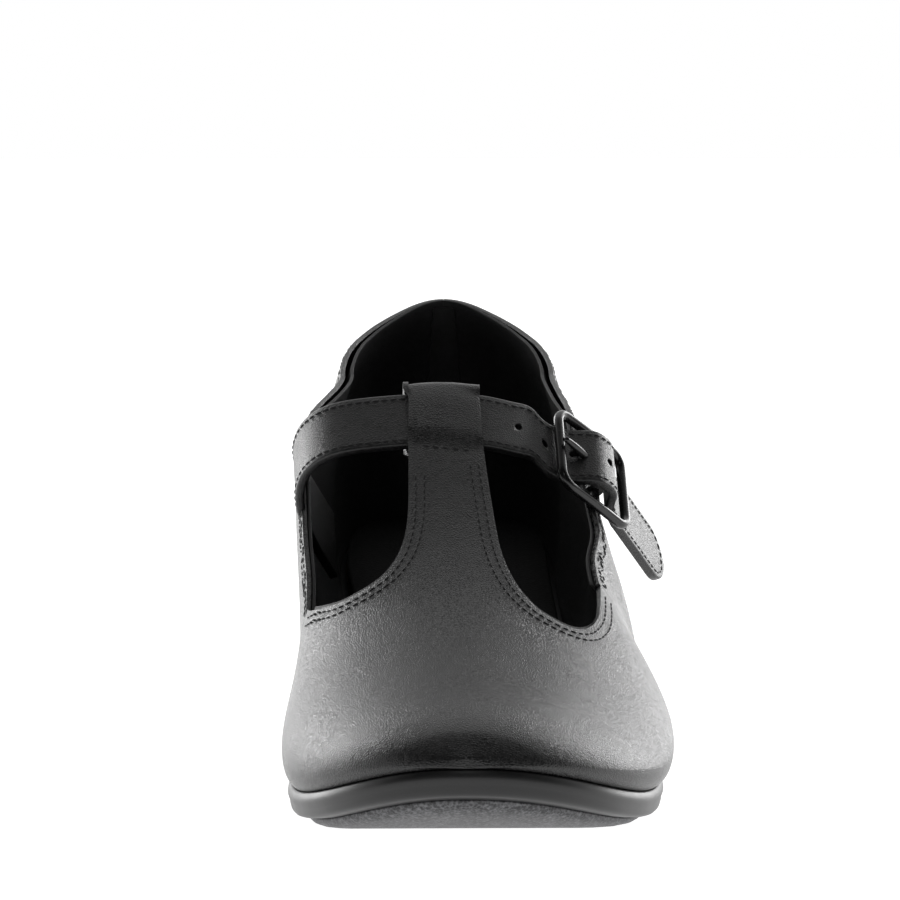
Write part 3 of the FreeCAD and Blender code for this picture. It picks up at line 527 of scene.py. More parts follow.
def addStitches(bm, points, normals, across=False):
    # one small rounded stitch for every pitch of the path
    template = bmesh.new()
    bmesh.ops.create_uvsphere(template, u_segments=8, v_segments=6, radius=0.5)
    bmesh.ops.rotate(template, verts=template.verts[:], cent=(0, 0, 0),
                     matrix=Matrix.Rotation(math.radians(90), 3, "Y"))
    shape = bpy.data.meshes.new("stitch_form")
    template.to_mesh(shape)
    template.free()
    route = resample(points, stitch["pitch"])
    for before, after in zip(route, route[1:]):
        middle = (before + after) * 0.5
        nearest = min(range(len(points)), key=lambda i: (points[i] - middle).length_squared)
        normal = normals[nearest]
        along = (after - before).normalized()
        sideways = normal.cross(along).normalized()
        along = sideways.cross(normal).normalized()
        if across:
            along, sideways = sideways, -along
        turn = Matrix((along, sideways, normal)).transposed().to_4x4()
        scale = Matrix.Diagonal((stitch["length"] * mm * random.uniform(0.92, 1.02), stitch["width"] * mm,
                                 stitch["height"] * mm * 2.0, 1.0))
        spot = points[nearest] + (middle - points[nearest]).dot(along) * along
        seat = Matrix.Translation(spot - normal * stitch["sink"] * mm)
        count = len(bm.verts)
        bm.from_mesh(shape)
        bm.verts.ensure_lookup_table()
        bmesh.ops.transform(bm, matrix=seat @ turn @ scale, verts=bm.verts[count:])
    bpy.data.meshes.remove(shape)


# vamp and T-strap
vampLook = {"thick": 1.3, "columns": 168, "rows": 132, "end": 127.9, "foldSteps": 10, "backPly": 17.5,
            "loopX": -2.2, "loopStation": 121.0}
leftCut = [(-10.6, 130.0), (-10.7, 92.0), (-10.9, 81.0), (-11.2, 67.6), (-12.6, 61.0), (-15.1, 56.6),
           (-18.9, 53.0), (-26.3, 48.4), (-31.0, 46.2), (-34.5, 44.4), (-70.0, 42.8), (-70.0, 130.0)]
rightCut = [(6.2, 130.0), (6.4, 92.0), (7.0, 81.5), (8.9, 67.9), (10.6, 59.4), (13.6, 53.2),
            (17.9, 48.4), (22.8, 45.2), (27.2, 43.2), (30.6, 42.9), (33.0, 44.2), (33.9, 46.6), (34.3, 50.0),
            (70.0, 50.0), (70.0, 130.0)]


def smoothLine(points, steps=8):
    # rounds the run of points but keeps the three corners that lie off the shoe
    line = [Vector(points[0])]
    body = points[1:-2]
    for i in range(len(body) - 1):
        before = Vector(body[max(i - 1, 0)])
        start, end = Vector(body[i]), Vector(body[i + 1])
        after = Vector(body[min(i + 2, len(body) - 1)])
        for step in range(steps):
            share = step / steps
            square, cube = share * share, share ** 3
            line.append(0.5 * (2 * start + (end - before) * share
                               + (2 * before - 5 * start + 4 * end - after) * square
                               + (3 * start - before - 3 * end + after) * cube))
    line.append(Vector(body[-1]))
    return line + [Vector(points[-2]), Vector(points[-1])]


def signedDistance(x, z, line):
    # positive inside the closed line, in millimetres
    inside = False
    nearest = 1e9
    spot = Vector((x, z))
    count = len(line)
    for i in range(count):
        start, end = line[i], line[(i + 1) % count]
        edge = end - start
        share = min(max((spot - start).dot(edge) / max(edge.length_squared, 1e-12), 0.0), 1.0)
        nearest = min(nearest, (spot - start - edge * share).length_squared)
        if (start.y > z) != (end.y > z):
            if x < start.x + (z - start.y) / (end.y - start.y) * edge.x:
                inside = not inside
    return math.sqrt(nearest) if inside else -math.sqrt(nearest)


cutLines = [smoothLine(leftCut), smoothLine(rightCut)]


def cutDepth(point):
    x, z = point.x / mm, point.z / mm
    return max(signedDistance(x, z, line) for line in cutLines)


def toeStations(rows, end):
    # rows lie closer together at the toe, and one of them is the side seam
    shares = [(i / rows) ** 1.55 for i in range(rows + 1)]
    stations = [end * share for share in shares]
    nearest = min(range(rows + 1), key=lambda i: abs(stations[i] - last["seam"]))
    stations[nearest] = last["seam"]
    return stations


def trimmedFore(columns, rows, end, offset):
    stations = toeStations(rows, end)
    layer = {}

    def pointAt(u, v):
        station = stations[round(v * rows)]
        return forePoint(station, 2.0 * u - 1.0, offset(station))

    bm = bmesh.new()
    bmesh.ops.create_grid(bm, x_segments=columns, y_segments=rows, size=0.5)
    for vert in bm.verts:
        u, v = vert.co.x + 0.5, vert.co.y + 0.5
        layer[vert] = [2.0 * u - 1.0, stations[round(v * rows)]]
        vert.co = pointAt(u, v)
    depth = {vert: cutDepth(vert.co) if layer[vert][1] > 55.0 else -50.0 for vert in bm.verts}
    seam = last["seam"]
    gone = [face for face in bm.faces
            if all(depth[vert] > 0 for vert in face.verts)
            or (min(layer[vert][1] for vert in face.verts) >= seam - 0.01
                and min(abs(layer[vert][0]) for vert in face.verts) > 0.32)]
    bmesh.ops.delete(bm, geom=gone, context="FACES")
    for vert in bm.verts:
        if depth[vert] <= 0:
            continue
        turn, station = layer[vert]
        for _ in range(6):
            here = cutDepth(forePoint(station, turn, offset(station)))
            stepTurn = 0.002
            stepStation = 0.15
            slopeTurn = (cutDepth(forePoint(station, turn + stepTurn, offset(station))) - here) / stepTurn
            slopeStation = (cutDepth(forePoint(station + stepStation, turn, offset(station)))
                            - here) / stepStation
            # both directions are weighed by how far they move the point
            gainTurn, gainStation = slopeTurn / 60.0, slopeStation
            total = gainTurn ** 2 + gainStation ** 2
            if total < 1e-4 or abs(here) < 0.004:
                break
            turn -= min(max(here * gainTurn / total / 60.0, -0.02), 0.02)
            if abs(station - seam) > 0.01 and station < end - 0.01:
                station = min(max(station - min(max(here * gainStation / total, -1.0), 1.0), 1.0), end)
        vert.co = forePoint(station, turn, offset(station))
    bmesh.ops.remove_doubles(bm, verts=bm.verts[:], dist=0.12 * mm)
    loose = [vert for vert in bm.verts if not vert.link_faces]
    bmesh.ops.delete(bm, geom=loose, context="VERTS")
    return bm


loopSlope = math.atan2(ridgeHeight(126.0) - ridgeHeight(116.0), 10.0)
loopUp = Vector((0.0, math.cos(loopSlope), math.sin(loopSlope)))
loopOut = Vector((0.0, -math.sin(loopSlope), math.cos(loopSlope)))


def makeVamp():
    bm = trimmedFore(vampLook["columns"], vampLook["rows"], vampLook["end"], lambda station: 0.0)
    bmesh.ops.remove_doubles(bm, verts=bm.verts[:], dist=0.02 * mm)
    faceAway(bm, shoeCore)
    for vert in bm.verts:
        # the strap's lower edge shows through as a crease, and the loop's top leans to the outer side
        x, station, z = vert.co.x / mm, vert.co.y / mm + last["heelCentre"], vert.co.z / mm
        if station > 105.0:
            level = z + 0.10 * (x - vampLook["loopX"])
            step = 0.55 * ease((level - 82.9) / 1.1) - 0.25 * ease((level - 85.0) / 6.0)
            dent = -0.22 * math.exp(-((level - 82.4) / 0.8) ** 2)
            lean = -0.07 * (x - vampLook["loopX"]) * ease((station - 112.0) / 15.9)
            vert.co += loopOut * (step + dent) * mm + loopUp * lean * mm
    # the end of the T-strap folds back behind the ankle strap
    top = [edge for edge in bm.edges if edge.is_boundary
           and all(vert.co.y > place(0, vampLook["end"] - 1.6, 0).y for vert in edge.verts)]
    centre = sum((vert.co for edge in top for vert in edge.verts), Vector()) / (2 * len(top))
    radius = 2.75 * mm
    pivot = centre - loopOut * radius
    for step in range(vampLook["foldSteps"]):
        grown = bmesh.ops.extrude_edge_only(bm, edges=top)
        verts = [item for item in grown["geom"] if isinstance(item, bmesh.types.BMVert)]
        top = [item for item in grown["geom"] if isinstance(item, bmesh.types.BMEdge)
               and all(vert in verts for vert in item.verts)]
        bmesh.ops.rotate(bm, verts=verts, cent=pivot,
                         matrix=Matrix.Rotation(-math.pi / vampLook["foldSteps"], 3, "X"))
    for step in range(7):
        grown = bmesh.ops.extrude_edge_only(bm, edges=top)
        verts = [item for item in grown["geom"] if isinstance(item, bmesh.types.BMVert)]
        top = [item for item in grown["geom"] if isinstance(item, bmesh.types.BMEdge)
               and all(vert in verts for vert in item.verts)]
        bmesh.ops.translate(bm, verts=verts, vec=loopUp * -vampLook["backPly"] * mm / 7)
    piece = makePiece("vamp_and_tstrap", bm, finish["upper"])
    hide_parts("vamp", "t_strap_loop")
    return piece


vamp = makeVamp()
vampSurface = BVHTree.FromObject(vamp, bpy.context.evaluated_depsgraph_get())
thicken(vamp, vampLook["thick"], even=False)
print("vamp:", len(vamp.data.polygons), "faces")


# quarters and linings
quarterLook = {"thick": 1.3, "columns": 150, "rows": 60}


def makeQuarter(name, side, offset, thick, material, node, top=toplineHeight, columns=150, rows=60):
    bm = sheet(columns, rows, lambda u, v: quarterPoint(side, u, v, offset(u), top))
    faceAway(bm, shoeCore)
    piece = makePiece(name, bm, material)
    thicken(piece, thick)
    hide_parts(node)
    return piece


quarterPieces = {}
for side, word in ((inner, "medial"), (outer, "lateral")):
    quarterPieces[side] = makeQuarter(word + "_quarter_upper", side, lambda u: 0.0, quarterLook["thick"],
                                      finish["upper"], word + "_quarter")
    lining = makeQuarter(word + "_lining", side, lambda u: 1.4 + 0.95 * ease((u - 0.34) / 0.12), 0.8,
                         finish["lining"], word + "_quarter_lining",
                         lambda station, way: toplineHeight(station, way) - 0.15, 110, 40)


def makeVampLining():
    bm = trimmedFore(120, 96, 112.0, lambda station: 1.4)
    faceAway(bm, shoeCore)
    piece = makePiece("vamp_lining_leather", bm, finish["lining"])
    thicken(piece, 0.8, even=False)
    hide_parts("vamp_lining")
    return piece


makeVampLining()
print("quarters and linings done")


# sole unit, tap, heel: rings of points round the plan outline
def outlineStations(count, inset, end=None):
    back = last["length"] - inset if end is None else end
    half = math.pi if end is None else 0.5 * math.pi
    spread = [(1.0 - math.cos(half * i / count)) for i in range(count + 1)]
    return [inset + (back - inset) * value / spread[-1] for value in spread]


def ringSolid(count, levels, heightAt, end=None, across=10, spread=1.0):
    # levels run from the top edge to the bottom edge: (inset, rise)
    walls = len(levels)
    around = 2 * walls + 2 * (across - 1)

    def pointAt(u, v):
        i = round(v * count)
        k = round(u * around) % around
        if k < walls:
            side, level = outer, levels[k]
            share = 1.0
        elif k < walls + across - 1:
            level = levels[-1]
            share = 1.0 - 2.0 * (k - walls + 1) / across
            side = outer if share >= 0 else inner
        elif k < 2 * walls + across - 1:
            side, level = inner, levels[::-1][k - walls - across + 1]
            share = -1.0
        else:
            level = levels[0]
            share = -1.0 + 2.0 * (k - 2 * walls - across + 2) / across
            side = outer if share >= 0 else inner
        inset, rise = level
        station = outlineStations(count, inset, end)[i]
        extra = {inner: 0.0, outer: (inset - levels[0][0]) * (spread - 1.0) * ease(station / 70.0)}
        halves = {way: planHalf(station, way, last["sole"][way], inset + extra[way])
                  for way in (inner, outer)}
        if share in (1.0, -1.0):
            x = side * halves[side]
        else:
            x = -halves[inner] + (halves[outer] + halves[inner]) * (share + 1.0) / 2.0
        return place(x, station, heightAt(station) + rise)

    bm = sheet(around, count, pointAt)
    closeUp(bm)
    holes = [edge for edge in bm.edges if edge.is_boundary]
    if holes:
        bmesh.ops.holes_fill(bm, edges=holes, sides=0)
        bmesh.ops.recalc_face_normals(bm, faces=bm.faces[:])
    return bm


soleLook = {"count": 150, "welt": 0.9}
soleLevels = [(0.9, 0.0), (0.35, -0.12), (0.08, -0.5), (-0.25, -1.6), (-0.4, -2.6), (-0.1, -3.4),
              (0.05, -3.9), (0.1, -4.6), (0.3, -5.3), (0.8, -5.8), (1.6, -6.0)]
sole = makePiece("sole_unit", ringSolid(soleLook["count"], soleLevels, soleTop), finish["sole"])
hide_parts("outsole")

tapLevels = [(4.0, -5.9), (3.95, -6.4), (4.1, -7.0), (4.7, -7.6), (6.2, -8.1), (8.6, -8.35), (10.5, -8.4)]
tap = makePiece("toe_tap_plate", ringSolid(90, tapLevels, soleTop, 92.0, 10, 1.9), finish["tap"])
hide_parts("toe_tap")

footLevels = [(6.6, 4.3), (6.1, 4.1), (5.9, 3.6), (5.9, 2.0)]
footbed = makePiece("footbed_pad", ringSolid(90, footLevels, soleTop), finish["footbed"])
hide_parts("footbed")
print("sole stack done")


# heel block and heel tap
heelLook = {"tapThick": 3.0, "tapHalf": 23.0, "tapLength": 47.0, "steps": 44, "levels": 26}


def heelPoint(turn, rise):
    # turn 0..1 runs round the D from one breast corner to the other, rise 0..1 upwards
    tapFront = last["heelCentre"] - heelLook["tapLength"] / 2
    tapBack = last["heelCentre"] + heelLook["tapLength"] / 2
    seatFront, seatBack = 0.775 * last["length"], last["length"] - 1.8
    curve = ease(rise ** 1.2) * 0.6 + 0.4 * rise ** 2.2
    half = heelLook["tapHalf"] + 0.6 + (last["sole"][1][2] - 2.2 - heelLook["tapHalf"]) * curve
    front = tapFront + (seatFront - tapFront) * curve
    back = tapBack + (seatBack - tapBack) * curve - 1.5 * math.sin(math.pi * rise)
    straight = front + 0.3 * (back - front)
    if turn < 0.2:
        x, station = -half, front + (straight - front) * turn / 0.2
    elif turn > 0.8:
        x, station = half, front + (straight - front) * (1.0 - turn) / 0.2
    else:
        angle = math.pi * (turn - 0.2) / 0.6
        x = -half * math.copysign(abs(math.cos(angle)) ** 0.9, math.cos(angle))
        station = straight + (back - straight) * math.sin(angle) ** 0.9
    ceiling = soleTop(station) - last["soleThick"]
    return place(x, station, heelLook["tapThick"] + (ceiling - heelLook["tapThick"]) * rise)


def heelSolid(low, high):
    steps, levels = heelLook["steps"], heelLook["levels"]
    bm = sheet(steps, levels, lambda u, v: heelPoint(u, low + (high - low) * v))
    bm.verts.ensure_lookup_table()
    # breast wall, top and bottom
    border = [edge for edge in bm.edges if edge.is_boundary]
    breast = [edge for edge in border if abs(edge.verts[0].co.z - edge.verts[1].co.z) > 0.3 * mm]
    bmesh.ops.bridge_loops(bm, edges=breast)
    rest = [edge for edge in bm.edges if edge.is_boundary]
    bmesh.ops.holes_fill(bm, edges=rest, sides=0)
    bmesh.ops.recalc_face_normals(bm, faces=bm.faces[:])
    return bm


heel = makePiece("heel_covered", heelSolid(0.0, 1.0), finish["heel"])
rim = heel.modifiers.new("rim", "BEVEL")
rim.width = 0.5 * mm
rim.segments = 3
rim.limit_method = "ANGLE"
rim.angle_limit = math.radians(50)
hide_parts("heel_block")


# buckle frame of reference from the joints
bar = Vector(joints["prong_lift"]["pos_m"])
acrossStrap = Vector(joints["prong_lift"]["axis"]).normalized()
alongStrap = Vector((15.9, 14.6, -13.4))
alongStrap = (alongStrap - acrossStrap * alongStrap.dot(acrossStrap)).normalized()
outStrap = alongStrap.cross(acrossStrap).normalized()
if outStrap.x < 0:
    outStrap = -outStrap
buckleLook = {"along": 12.5, "across": 10.8, "bar": 1.2, "corner": 3.4}
strapLook = {"width": 15.5, "thick": 2.2, "edge": 0.55}
underBar = -(1.2 + 1.15 + 1.1)
overBar = 2.25 + 0.35 + 1.1


def inBuckle(along, across, out):
    return bar + (alongStrap * along + acrossStrap * across + outStrap * out) * mm


def smoothRoute(points, steps=9):
    route = []
    for i in range(len(points) - 1):
        before, start = points[max(i - 1, 0)], points[i]
        end, after = points[i + 1], points[min(i + 2, len(points) - 1)]
        for step in range(steps):
            share = step / steps
            route.append(0.5 * (2 * start + (end - before) * share
                                + (2 * before - 5 * start + 4 * end - after) * share ** 2
                                + (3 * start - before - 3 * end + after) * share ** 3))
    return route + [points[-1]]


loopStation = vampLook["loopStation"]
archTop = place(vampLook["loopX"], loopStation, ridgeHeight(loopStation))
archTop += (loopUp * 0.5 - loopOut * 2.75) * mm
arch = [(-29.0, 46.0), (-32.2, 37.5), (-34.4, 31.5), (-36.0, 26.5), (-37.0, 20.5), (-36.6, 14.8),
        (-34.4, 9.0), (-30.2, 4.6), (-24.0, 2.1), (-14.0, 0.5), (-8.0, 0.13), (-2.2, 0.0), (4.0, 0.27),
        (8.0, 0.79), (14.0, 2.9), (18.6, 5.0)]
strapPoints = [Vector((x * mm, archTop.y + drop * math.sin(loopSlope) * mm,
                       archTop.z - drop * math.cos(loopSlope) * mm)) for x, drop in arch]
strapPoints += [inBuckle(u * 12.5, 0, n) for u, n in
                ((-1.03, underBar), (-0.6, 0.35 * underBar), (-0.28, 0.78 * overBar), (0.0, overBar),
                 (0.28, 0.78 * overBar), (0.6, 0.35 * underBar), (1.0, underBar))]
tailTurn = math.radians(14.0)
tailDirection = alongStrap * math.cos(tailTurn) - outStrap * math.sin(tailTurn)
tailRoot = inBuckle(14.6, 0, underBar - 0.55)
strapPoints += [tailRoot + tailDirection * mm * reach for reach in (0.0, 6.0, 13.0, 20.0, 28.0)]
strapRoute = resample(smoothRoute(strapPoints), 0.6)
strapRun = (len(strapRoute) - 1) * (strapRoute[1] - strapRoute[0]).length / mm


def bandSection(low, high, thick, edge, steps=4):
    # rounded rectangle as (across, out) pairs
    section = []
    corners = ((high, 1), (low, 1), (low, -1), (high, -1))
    for index, (across, facing) in enumerate(corners):
        inwards = -edge if across == high else edge
        centre = (across + inwards, facing * (thick / 2 - edge))
        for step in range(steps + 1):
            angle = math.radians(90 * index + 90 * step / steps)
            section.append((centre[0] + edge * math.cos(angle), centre[1] + edge * math.sin(angle)))
        if index in (0, 2):
            nextInwards = edge if index == 0 else -edge
            goal = (corners[index + 1][0] + nextInwards, section[-1][1])
            start = section[-1]
            for step in range(1, 10):
                section.append((start[0] + (goal[0] - start[0]) * step / 10, start[1]))
    return section


def strapSpan(along):
    # lower and upper edge from the middle line; the root flares downwards, the tip is a half round
    half = strapLook["width"] / 2
    left = strapRun - along
    if left < half:
        tip = max(math.sqrt(max(half ** 2 - (half - left) ** 2, 0.0)), 0.9)
        return -tip, tip
    return -half - 4.2 * (1.0 - ease((along - 8.0) / 30.0)), half


def strapFrame(i):
    ahead = strapRoute[min(i + 1, len(strapRoute) - 1)]
    along = (ahead - strapRoute[max(i - 1, 0)]).normalized()
    out = along.cross(acrossStrap).normalized()
    return along, out


def makeStrap():
    count = len(strapRoute) - 1
    sides = len(bandSection(-1.0, 1.0, 2.2, 0.5))

    def pointAt(u, v):
        i = round(v * count)
        along, out = strapFrame(i)
        low, high = strapSpan(strapRun * i / count)
        edge = min(strapLook["edge"], high * 0.6)
        across, deep = bandSection(low, high, strapLook["thick"], edge)[round(u * sides) % sides]
        return strapRoute[i] + (acrossStrap * across + out * deep) * mm

    bm = sheet(sides, count, pointAt)
    closeUp(bm, 0.01)
    ends = [edge for edge in bm.edges if edge.is_boundary]
    bmesh.ops.holes_fill(bm, edges=ends, sides=0)
    bmesh.ops.recalc_face_normals(bm, faces=bm.faces[:])
    return bm


def blendStrap(piece):
    inBuckle(12.6, 0, underBar)
    tailRoot + tailDirection * 5.0 * mm
    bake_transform(piece)


strapMesh = bpy.data.meshes.new("ankle_strap_band")
strapForm = makeStrap()
strapForm.to_mesh(strapMesh)
strapForm.free()
strapMesh.materials.append(finish["strap"])
for polygon in strapMesh.polygons:
    polygon.use_smooth = True
strap = bpy.data.objects.new("ankle_strap_band", strapMesh)
bpy.context.scene.collection.objects.link(strap)

# punched holes, one of them round the prong
holes = [(15.2, 0.95), (21.6, 0.95), (30.2, 1.25), (36.9, 0.95)]
punches = bmesh.new()
for reach, wide in holes:
    i = min(range(len(strapRoute)), key=lambda k: abs(strapRoute[k].x - reach * mm))
    along, out = strapFrame(i)
    turn = Matrix((along, acrossStrap, out)).transposed().to_4x4()
    punch = bmesh.new()
    bmesh.ops.create_cone(punch, segments=20, cap_ends=True, radius1=wide * mm, radius2=wide * mm,
                          depth=6 * mm)
    stretch = Matrix.Diagonal((1.9 if wide > 1.0 else 1.0, 1.0, 1.0, 1.0))
    bmesh.ops.transform(punch, matrix=Matrix.Translation(strapRoute[i]) @ turn @ stretch,
                        verts=punch.verts[:])
    punchMesh = bpy.data.meshes.new("punch")
    punch.to_mesh(punchMesh)
    punch.free()
    punches.from_mesh(punchMesh)
    bpy.data.meshes.remove(punchMesh)
cutterMesh = bpy.data.meshes.new("punches")
punches.to_mesh(cutterMesh)
punches.free()
cutter = bpy.data.objects.new("punches", cutterMesh)
bpy.context.scene.collection.objects.link(cutter)
cut = strap.modifiers.new("holes", "BOOLEAN")
cut.operation = "DIFFERENCE"
cut.solver = "EXACT"
cut.object = cutter
whole = strap.evaluated_get(bpy.context.evaluated_depsgraph_get())
punched = bpy.data.meshes.new_from_object(whole)
strap.modifiers.clear()
strap.data = punched
bpy.data.objects.remove(cutter)
blendStrap(strap)
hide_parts("ankle_strap", "strap_lining", "strap_tail")
print("strap done:", len(punched.polygons), "faces")


# buckle
def makeRod(route, radius, closed=False, sides=16):
    count = len(route) if closed else len(route) - 1

    def pointAt(u, v):
        i = round(v * count) % len(route) if closed else round(v * count)
        ahead = route[(i + 1) % len(route)] if closed else route[min(i + 1, count)]
        behind = route[i - 1] if closed or i else route[0]
        along = (ahead - behind).normalized()
        sideways = along.cross(outStrap).normalized()
        upwards = sideways.cross(along).normalized()
        angle = 2.0 * math.pi * (round(u * sides) % sides) / sides
        size = radius(i / count) if callable(radius) else radius
        return route[i] + (sideways * math.cos(angle) + upwards * math.sin(angle)) * size * mm

    bm = sheet(sides, count, pointAt)
    closeUp(bm, 0.005)
    if not closed:
        bmesh.ops.holes_fill(bm, edges=[edge for edge in bm.edges if edge.is_boundary], sides=0)
        bmesh.ops.recalc_face_normals(bm, faces=bm.faces[:])
    return bm


def buckleRoute():
    long, wide, corner = buckleLook["along"], buckleLook["across"], buckleLook["corner"]
    route = []
    for index, (u, w) in enumerate(((1, 1), (-1, 1), (-1, -1), (1, -1))):
        for step in range(7):
            angle = math.radians(90 * index + 15 * step)
            route.append((u * (long - corner) + corner * math.cos(angle),
                          w * (wide - corner) + corner * math.sin(angle)))
    dense = []
    for i, spot in enumerate(route):
        follow = route[(i + 1) % len(route)]
        gap = math.hypot(follow[0] - spot[0], follow[1] - spot[1])
        parts = max(int(gap / 1.5), 1)
        for step in range(parts):
            dense.append((spot[0] + (follow[0] - spot[0]) * step / parts,
                          spot[1] + (follow[1] - spot[1]) * step / parts))
    return [inBuckle(u, w, -0.5 * (u / long) ** 2 * 0.6 + 0.15) for u, w in dense]


def joinMesh(target, source):
    mesh = bpy.data.meshes.new("part_form")
    source.to_mesh(mesh)
    source.free()
    target.from_mesh(mesh)
    bpy.data.meshes.remove(mesh)


frameMesh = makeRod(buckleRoute(), buckleLook["bar"], True, 20)
barMesh = makeRod([inBuckle(0, w, 0) for w in range(-10, 11)], buckleLook["bar"])
joinMesh(frameMesh, barMesh)
buckle = makePiece("buckle_ring", frameMesh, finish["buckle"], "buckle")
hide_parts("buckle_frame")

prongRoute = [inBuckle(-12.5 * share - 0.6, 0, 1.6 + 0.75 * ease(share))
              for share in [i / 14 for i in range(16)]]


def prongRadius(share):
    return 0.98 - 0.28 * ease((share - 0.55) / 0.45)


prongMesh = makeRod(prongRoute, prongRadius, False, 14)
eyeMesh = bmesh.new()
bmesh.ops.create_cone(eyeMesh, segments=28, cap_ends=True, cap_tris=False, radius1=2.2 * mm, radius2=2.2 * mm,
                      depth=2.2 * mm)
turn = Matrix((alongStrap, outStrap, acrossStrap)).transposed().to_4x4()
bmesh.ops.transform(eyeMesh, matrix=Matrix.Translation(bar) @ turn, verts=eyeMesh.verts[:])
joinMesh(prongMesh, eyeMesh)
prong = makePiece("buckle_tongue", prongMesh, finish["buckle"], "prong")
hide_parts("buckle_prong")
print("buckle done")

# stitch rows
seams = bmesh.new()
for line in cutLines:
    body = [Vector((spot.x * mm, 0, spot.y * mm)) for spot in line[:-2] if 42.7 < spot.y < 81.0]
    edge = dropTo(body, vampSurface, -0.4, (0, 1, 0))
    edge = [spot for spot in edge if spot.y < place(0, 121, 0).y]
    for distance in (1.7, 3.8):
        row = insetPath(edge, vampSurface, distance, lambda spot: -cutDepth(spot))
        addStitches(seams, row, surfaceNormals(row, vampSurface))
crossRow = dropTo([Vector((x * mm, 0, (81.6 - 0.10 * (x + 2.2)) * mm)) for x in range(-8, 5)],
                  vampSurface, -0.4, (0, 1, 0))
addStitches(seams, crossRow, surfaceNormals(crossRow, vampSurface))
for side in (inner, outer):
    deps = bpy.context.evaluated_depsgraph_get()
    wallTree = BVHTree.FromObject(quarterPieces[side], deps)
    for start, end, distance in ((0.006, 0.34, 1.7), (0.006, 0.30, 3.8), (0.34, 0.985, 1.5)):
        edge = [quarterPoint(side, start + (end - start) * i / 120, 1.0) for i in range(121)]
        row = insetPath(edge, wallTree, distance, lambda spot: -spot.z)
        addStitches(seams, row, surfaceNormals(row, wallTree))
tapeTree = BVHTree.FromObject(frame["nodes"]["back_tape"], bpy.context.evaluated_depsgraph_get())
for x in (-4.0, 4.0):
    column = [Vector((x * mm, 0, z * mm)) for z in range(62, 103, 2)]
    inside = dropTo(column, tapeTree, -0.05, (0, 1, 0))
    if len(inside) > 3:
        normals = [-normal if normal.y > 0 else normal for normal in surfaceNormals(inside, tapeTree)]
        addStitches(seams, inside, normals)
makePiece("upper_stitching", seams, finish["thread"])

strapSeams = bmesh.new()
half = strapLook["width"] / 2
reach = half - 1.5
upperRow, lowerRow, normals = [], [], []
count = len(strapRoute) - 1
for i in range(6, count + 1):
    along, out = strapFrame(i)
    travelled = strapRun * i / count
    left = strapRun - travelled
    low, high = strapSpan(travelled)
    if left < 1.6:
        break
    offset = reach if left > half else math.sqrt(max(reach ** 2 - (half - left) ** 2, 0.0))
    lift = out * strapLook["thick"] / 2 * mm
    upperRow.append(strapRoute[i] + acrossStrap * min(offset, high - 1.5) * mm + lift)
    below = max(-offset, low + 1.5) if left < half else low + 1.5
    lowerRow.append(strapRoute[i] + acrossStrap * below * mm + lift)
    normals.append(out)
addStitches(strapSeams, upperRow + lowerRow[::-1], normals + normals[::-1])
strapStitches = bpy.data.meshes.new("strap_stitching")
strapSeams.to_mesh(strapStitches)
strapSeams.free()
strapStitches.materials.append(finish["thread"])
for polygon in strapStitches.polygons:
    polygon.use_smooth = True
strapThread = bpy.data.objects.new("strap_stitching", strapStitches)
bpy.context.scene.collection.objects.link(strapThread)
blendStrap(strapThread)
print("stitches done")

# CAD nodes that stay as they are
kept = {"toe_tap_screws": "steel", "heel_tap_screws": "steel", "heel_nails": "steel", "shank": "steel",
        "insole_board": "board", "toe_puff": "board", "heel_counter": "board", "heel_tap": "tap",
        "back_tape": "lining", "buckle_chape": "strap"}
for node, look in kept.items():
    slots = frame["nodes"][node].material_slots
    for index in range(len(slots)):
        slots[index].material = finish[look]

# camera, floor and light
camera = bpy.data.objects.new("camera", bpy.data.cameras.new("camera"))
bpy.context.scene.collection.objects.link(camera)
camera.location = (-0.0348, -1.722, 0.247)
target = Vector((-0.0008, -0.097, 0.080))
camera.rotation_euler = (target - camera.location).to_track_quat("-Z", "Y").to_euler()
camera.data.lens = 273.4
camera.data.clip_end = 50.0
bpy.context.scene.camera = camera

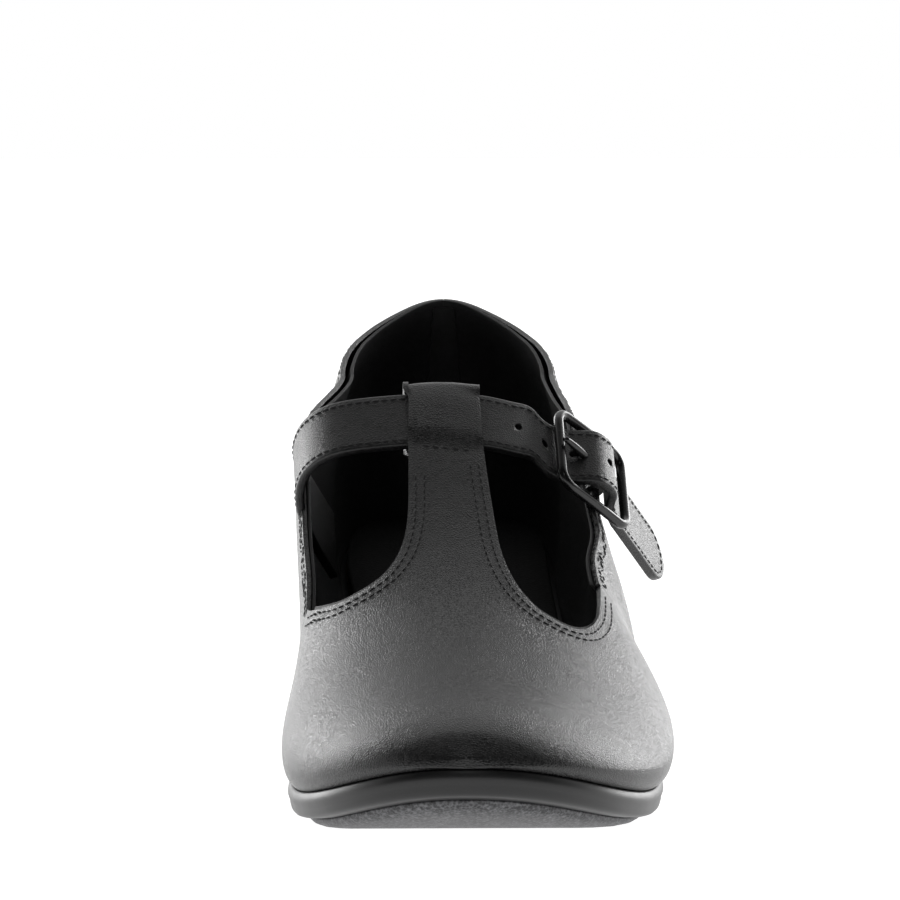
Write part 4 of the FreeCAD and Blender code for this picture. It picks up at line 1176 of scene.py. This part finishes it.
floorMesh = bmesh.new()
bmesh.ops.create_grid(floorMesh, x_segments=1, y_segments=1, size=2.4)
floorData = bpy.data.meshes.new("floor")
floorMesh.to_mesh(floorData)
floorMesh.free()
floor = bpy.data.objects.new("floor", floorData)
bpy.context.scene.collection.objects.link(floor)
floorMaterial, floorTree, floorShader = newMaterial("floor_white", {
    "Base Color": (0.5, 0.5, 0.5, 1.0), "Roughness": 0.9, "Emission Color": (1.0, 1.0, 1.0, 1.0),
    "Emission Strength": 0.97})
floor.data.materials.append(floorMaterial)
floor.location = (0, 0, -0.0003)

lightLook = [
    ("left_box", (-1.0, 1.15, 0.45), (0.7, 0.9), 11.0),
    ("right_box", (1.0, 1.15, 0.45), (0.7, 0.9), 11.0),
    ("top_box", (0.0, 0.35, 1.6), (1.2, 0.8), 0.8),
    ("toe_light", (0.04, -1.12, 0.95), (0.12, 0.06), 0.5),
]
for name, spot, (wide, tall), power in lightLook:
    light = bpy.data.lights.new(name, "AREA")
    light.shape = "RECTANGLE"
    light.size = wide
    light.size_y = tall
    light.energy = power
    holder = bpy.data.objects.new(name, light)
    bpy.context.scene.collection.objects.link(holder)
    holder.location = spot
    holder.rotation_euler = (Vector((0, -0.1, 0.05)) - Vector(spot)).to_track_quat("-Z", "Y").to_euler()
    holder.visible_camera = False

# white behind and beside the shoe, dark in front of it
world = bpy.data.worlds.new("studio")
world.use_nodes = True
worldTree = world.node_tree
direction = addNode(worldTree, "ShaderNodeTexCoord").outputs["Generated"]
parts = addNode(worldTree, "ShaderNodeSeparateXYZ", {}, {0: direction})
backwards = Signal(worldTree, parts.outputs["Y"])
upwards = Signal(worldTree, parts.outputs["Z"])
glow = addNode(worldTree, "ShaderNodeMapRange", {"clamp": True, "interpolation_type": "SMOOTHSTEP"},
               {"Value": backwards + upwards * 0.12, "From Min": -0.2, "From Max": 0.55, "To Min": 0.015,
                "To Max": 1.0})
worldTree.links.new(glow.outputs[0], worldTree.nodes["Background"].inputs["Strength"])
worldTree.nodes["Background"].inputs["Color"].default_value = (1.0, 1.0, 1.0, 1.0)
bpy.context.scene.world = world
bpy.context.scene.view_settings.view_transform = "Standard"
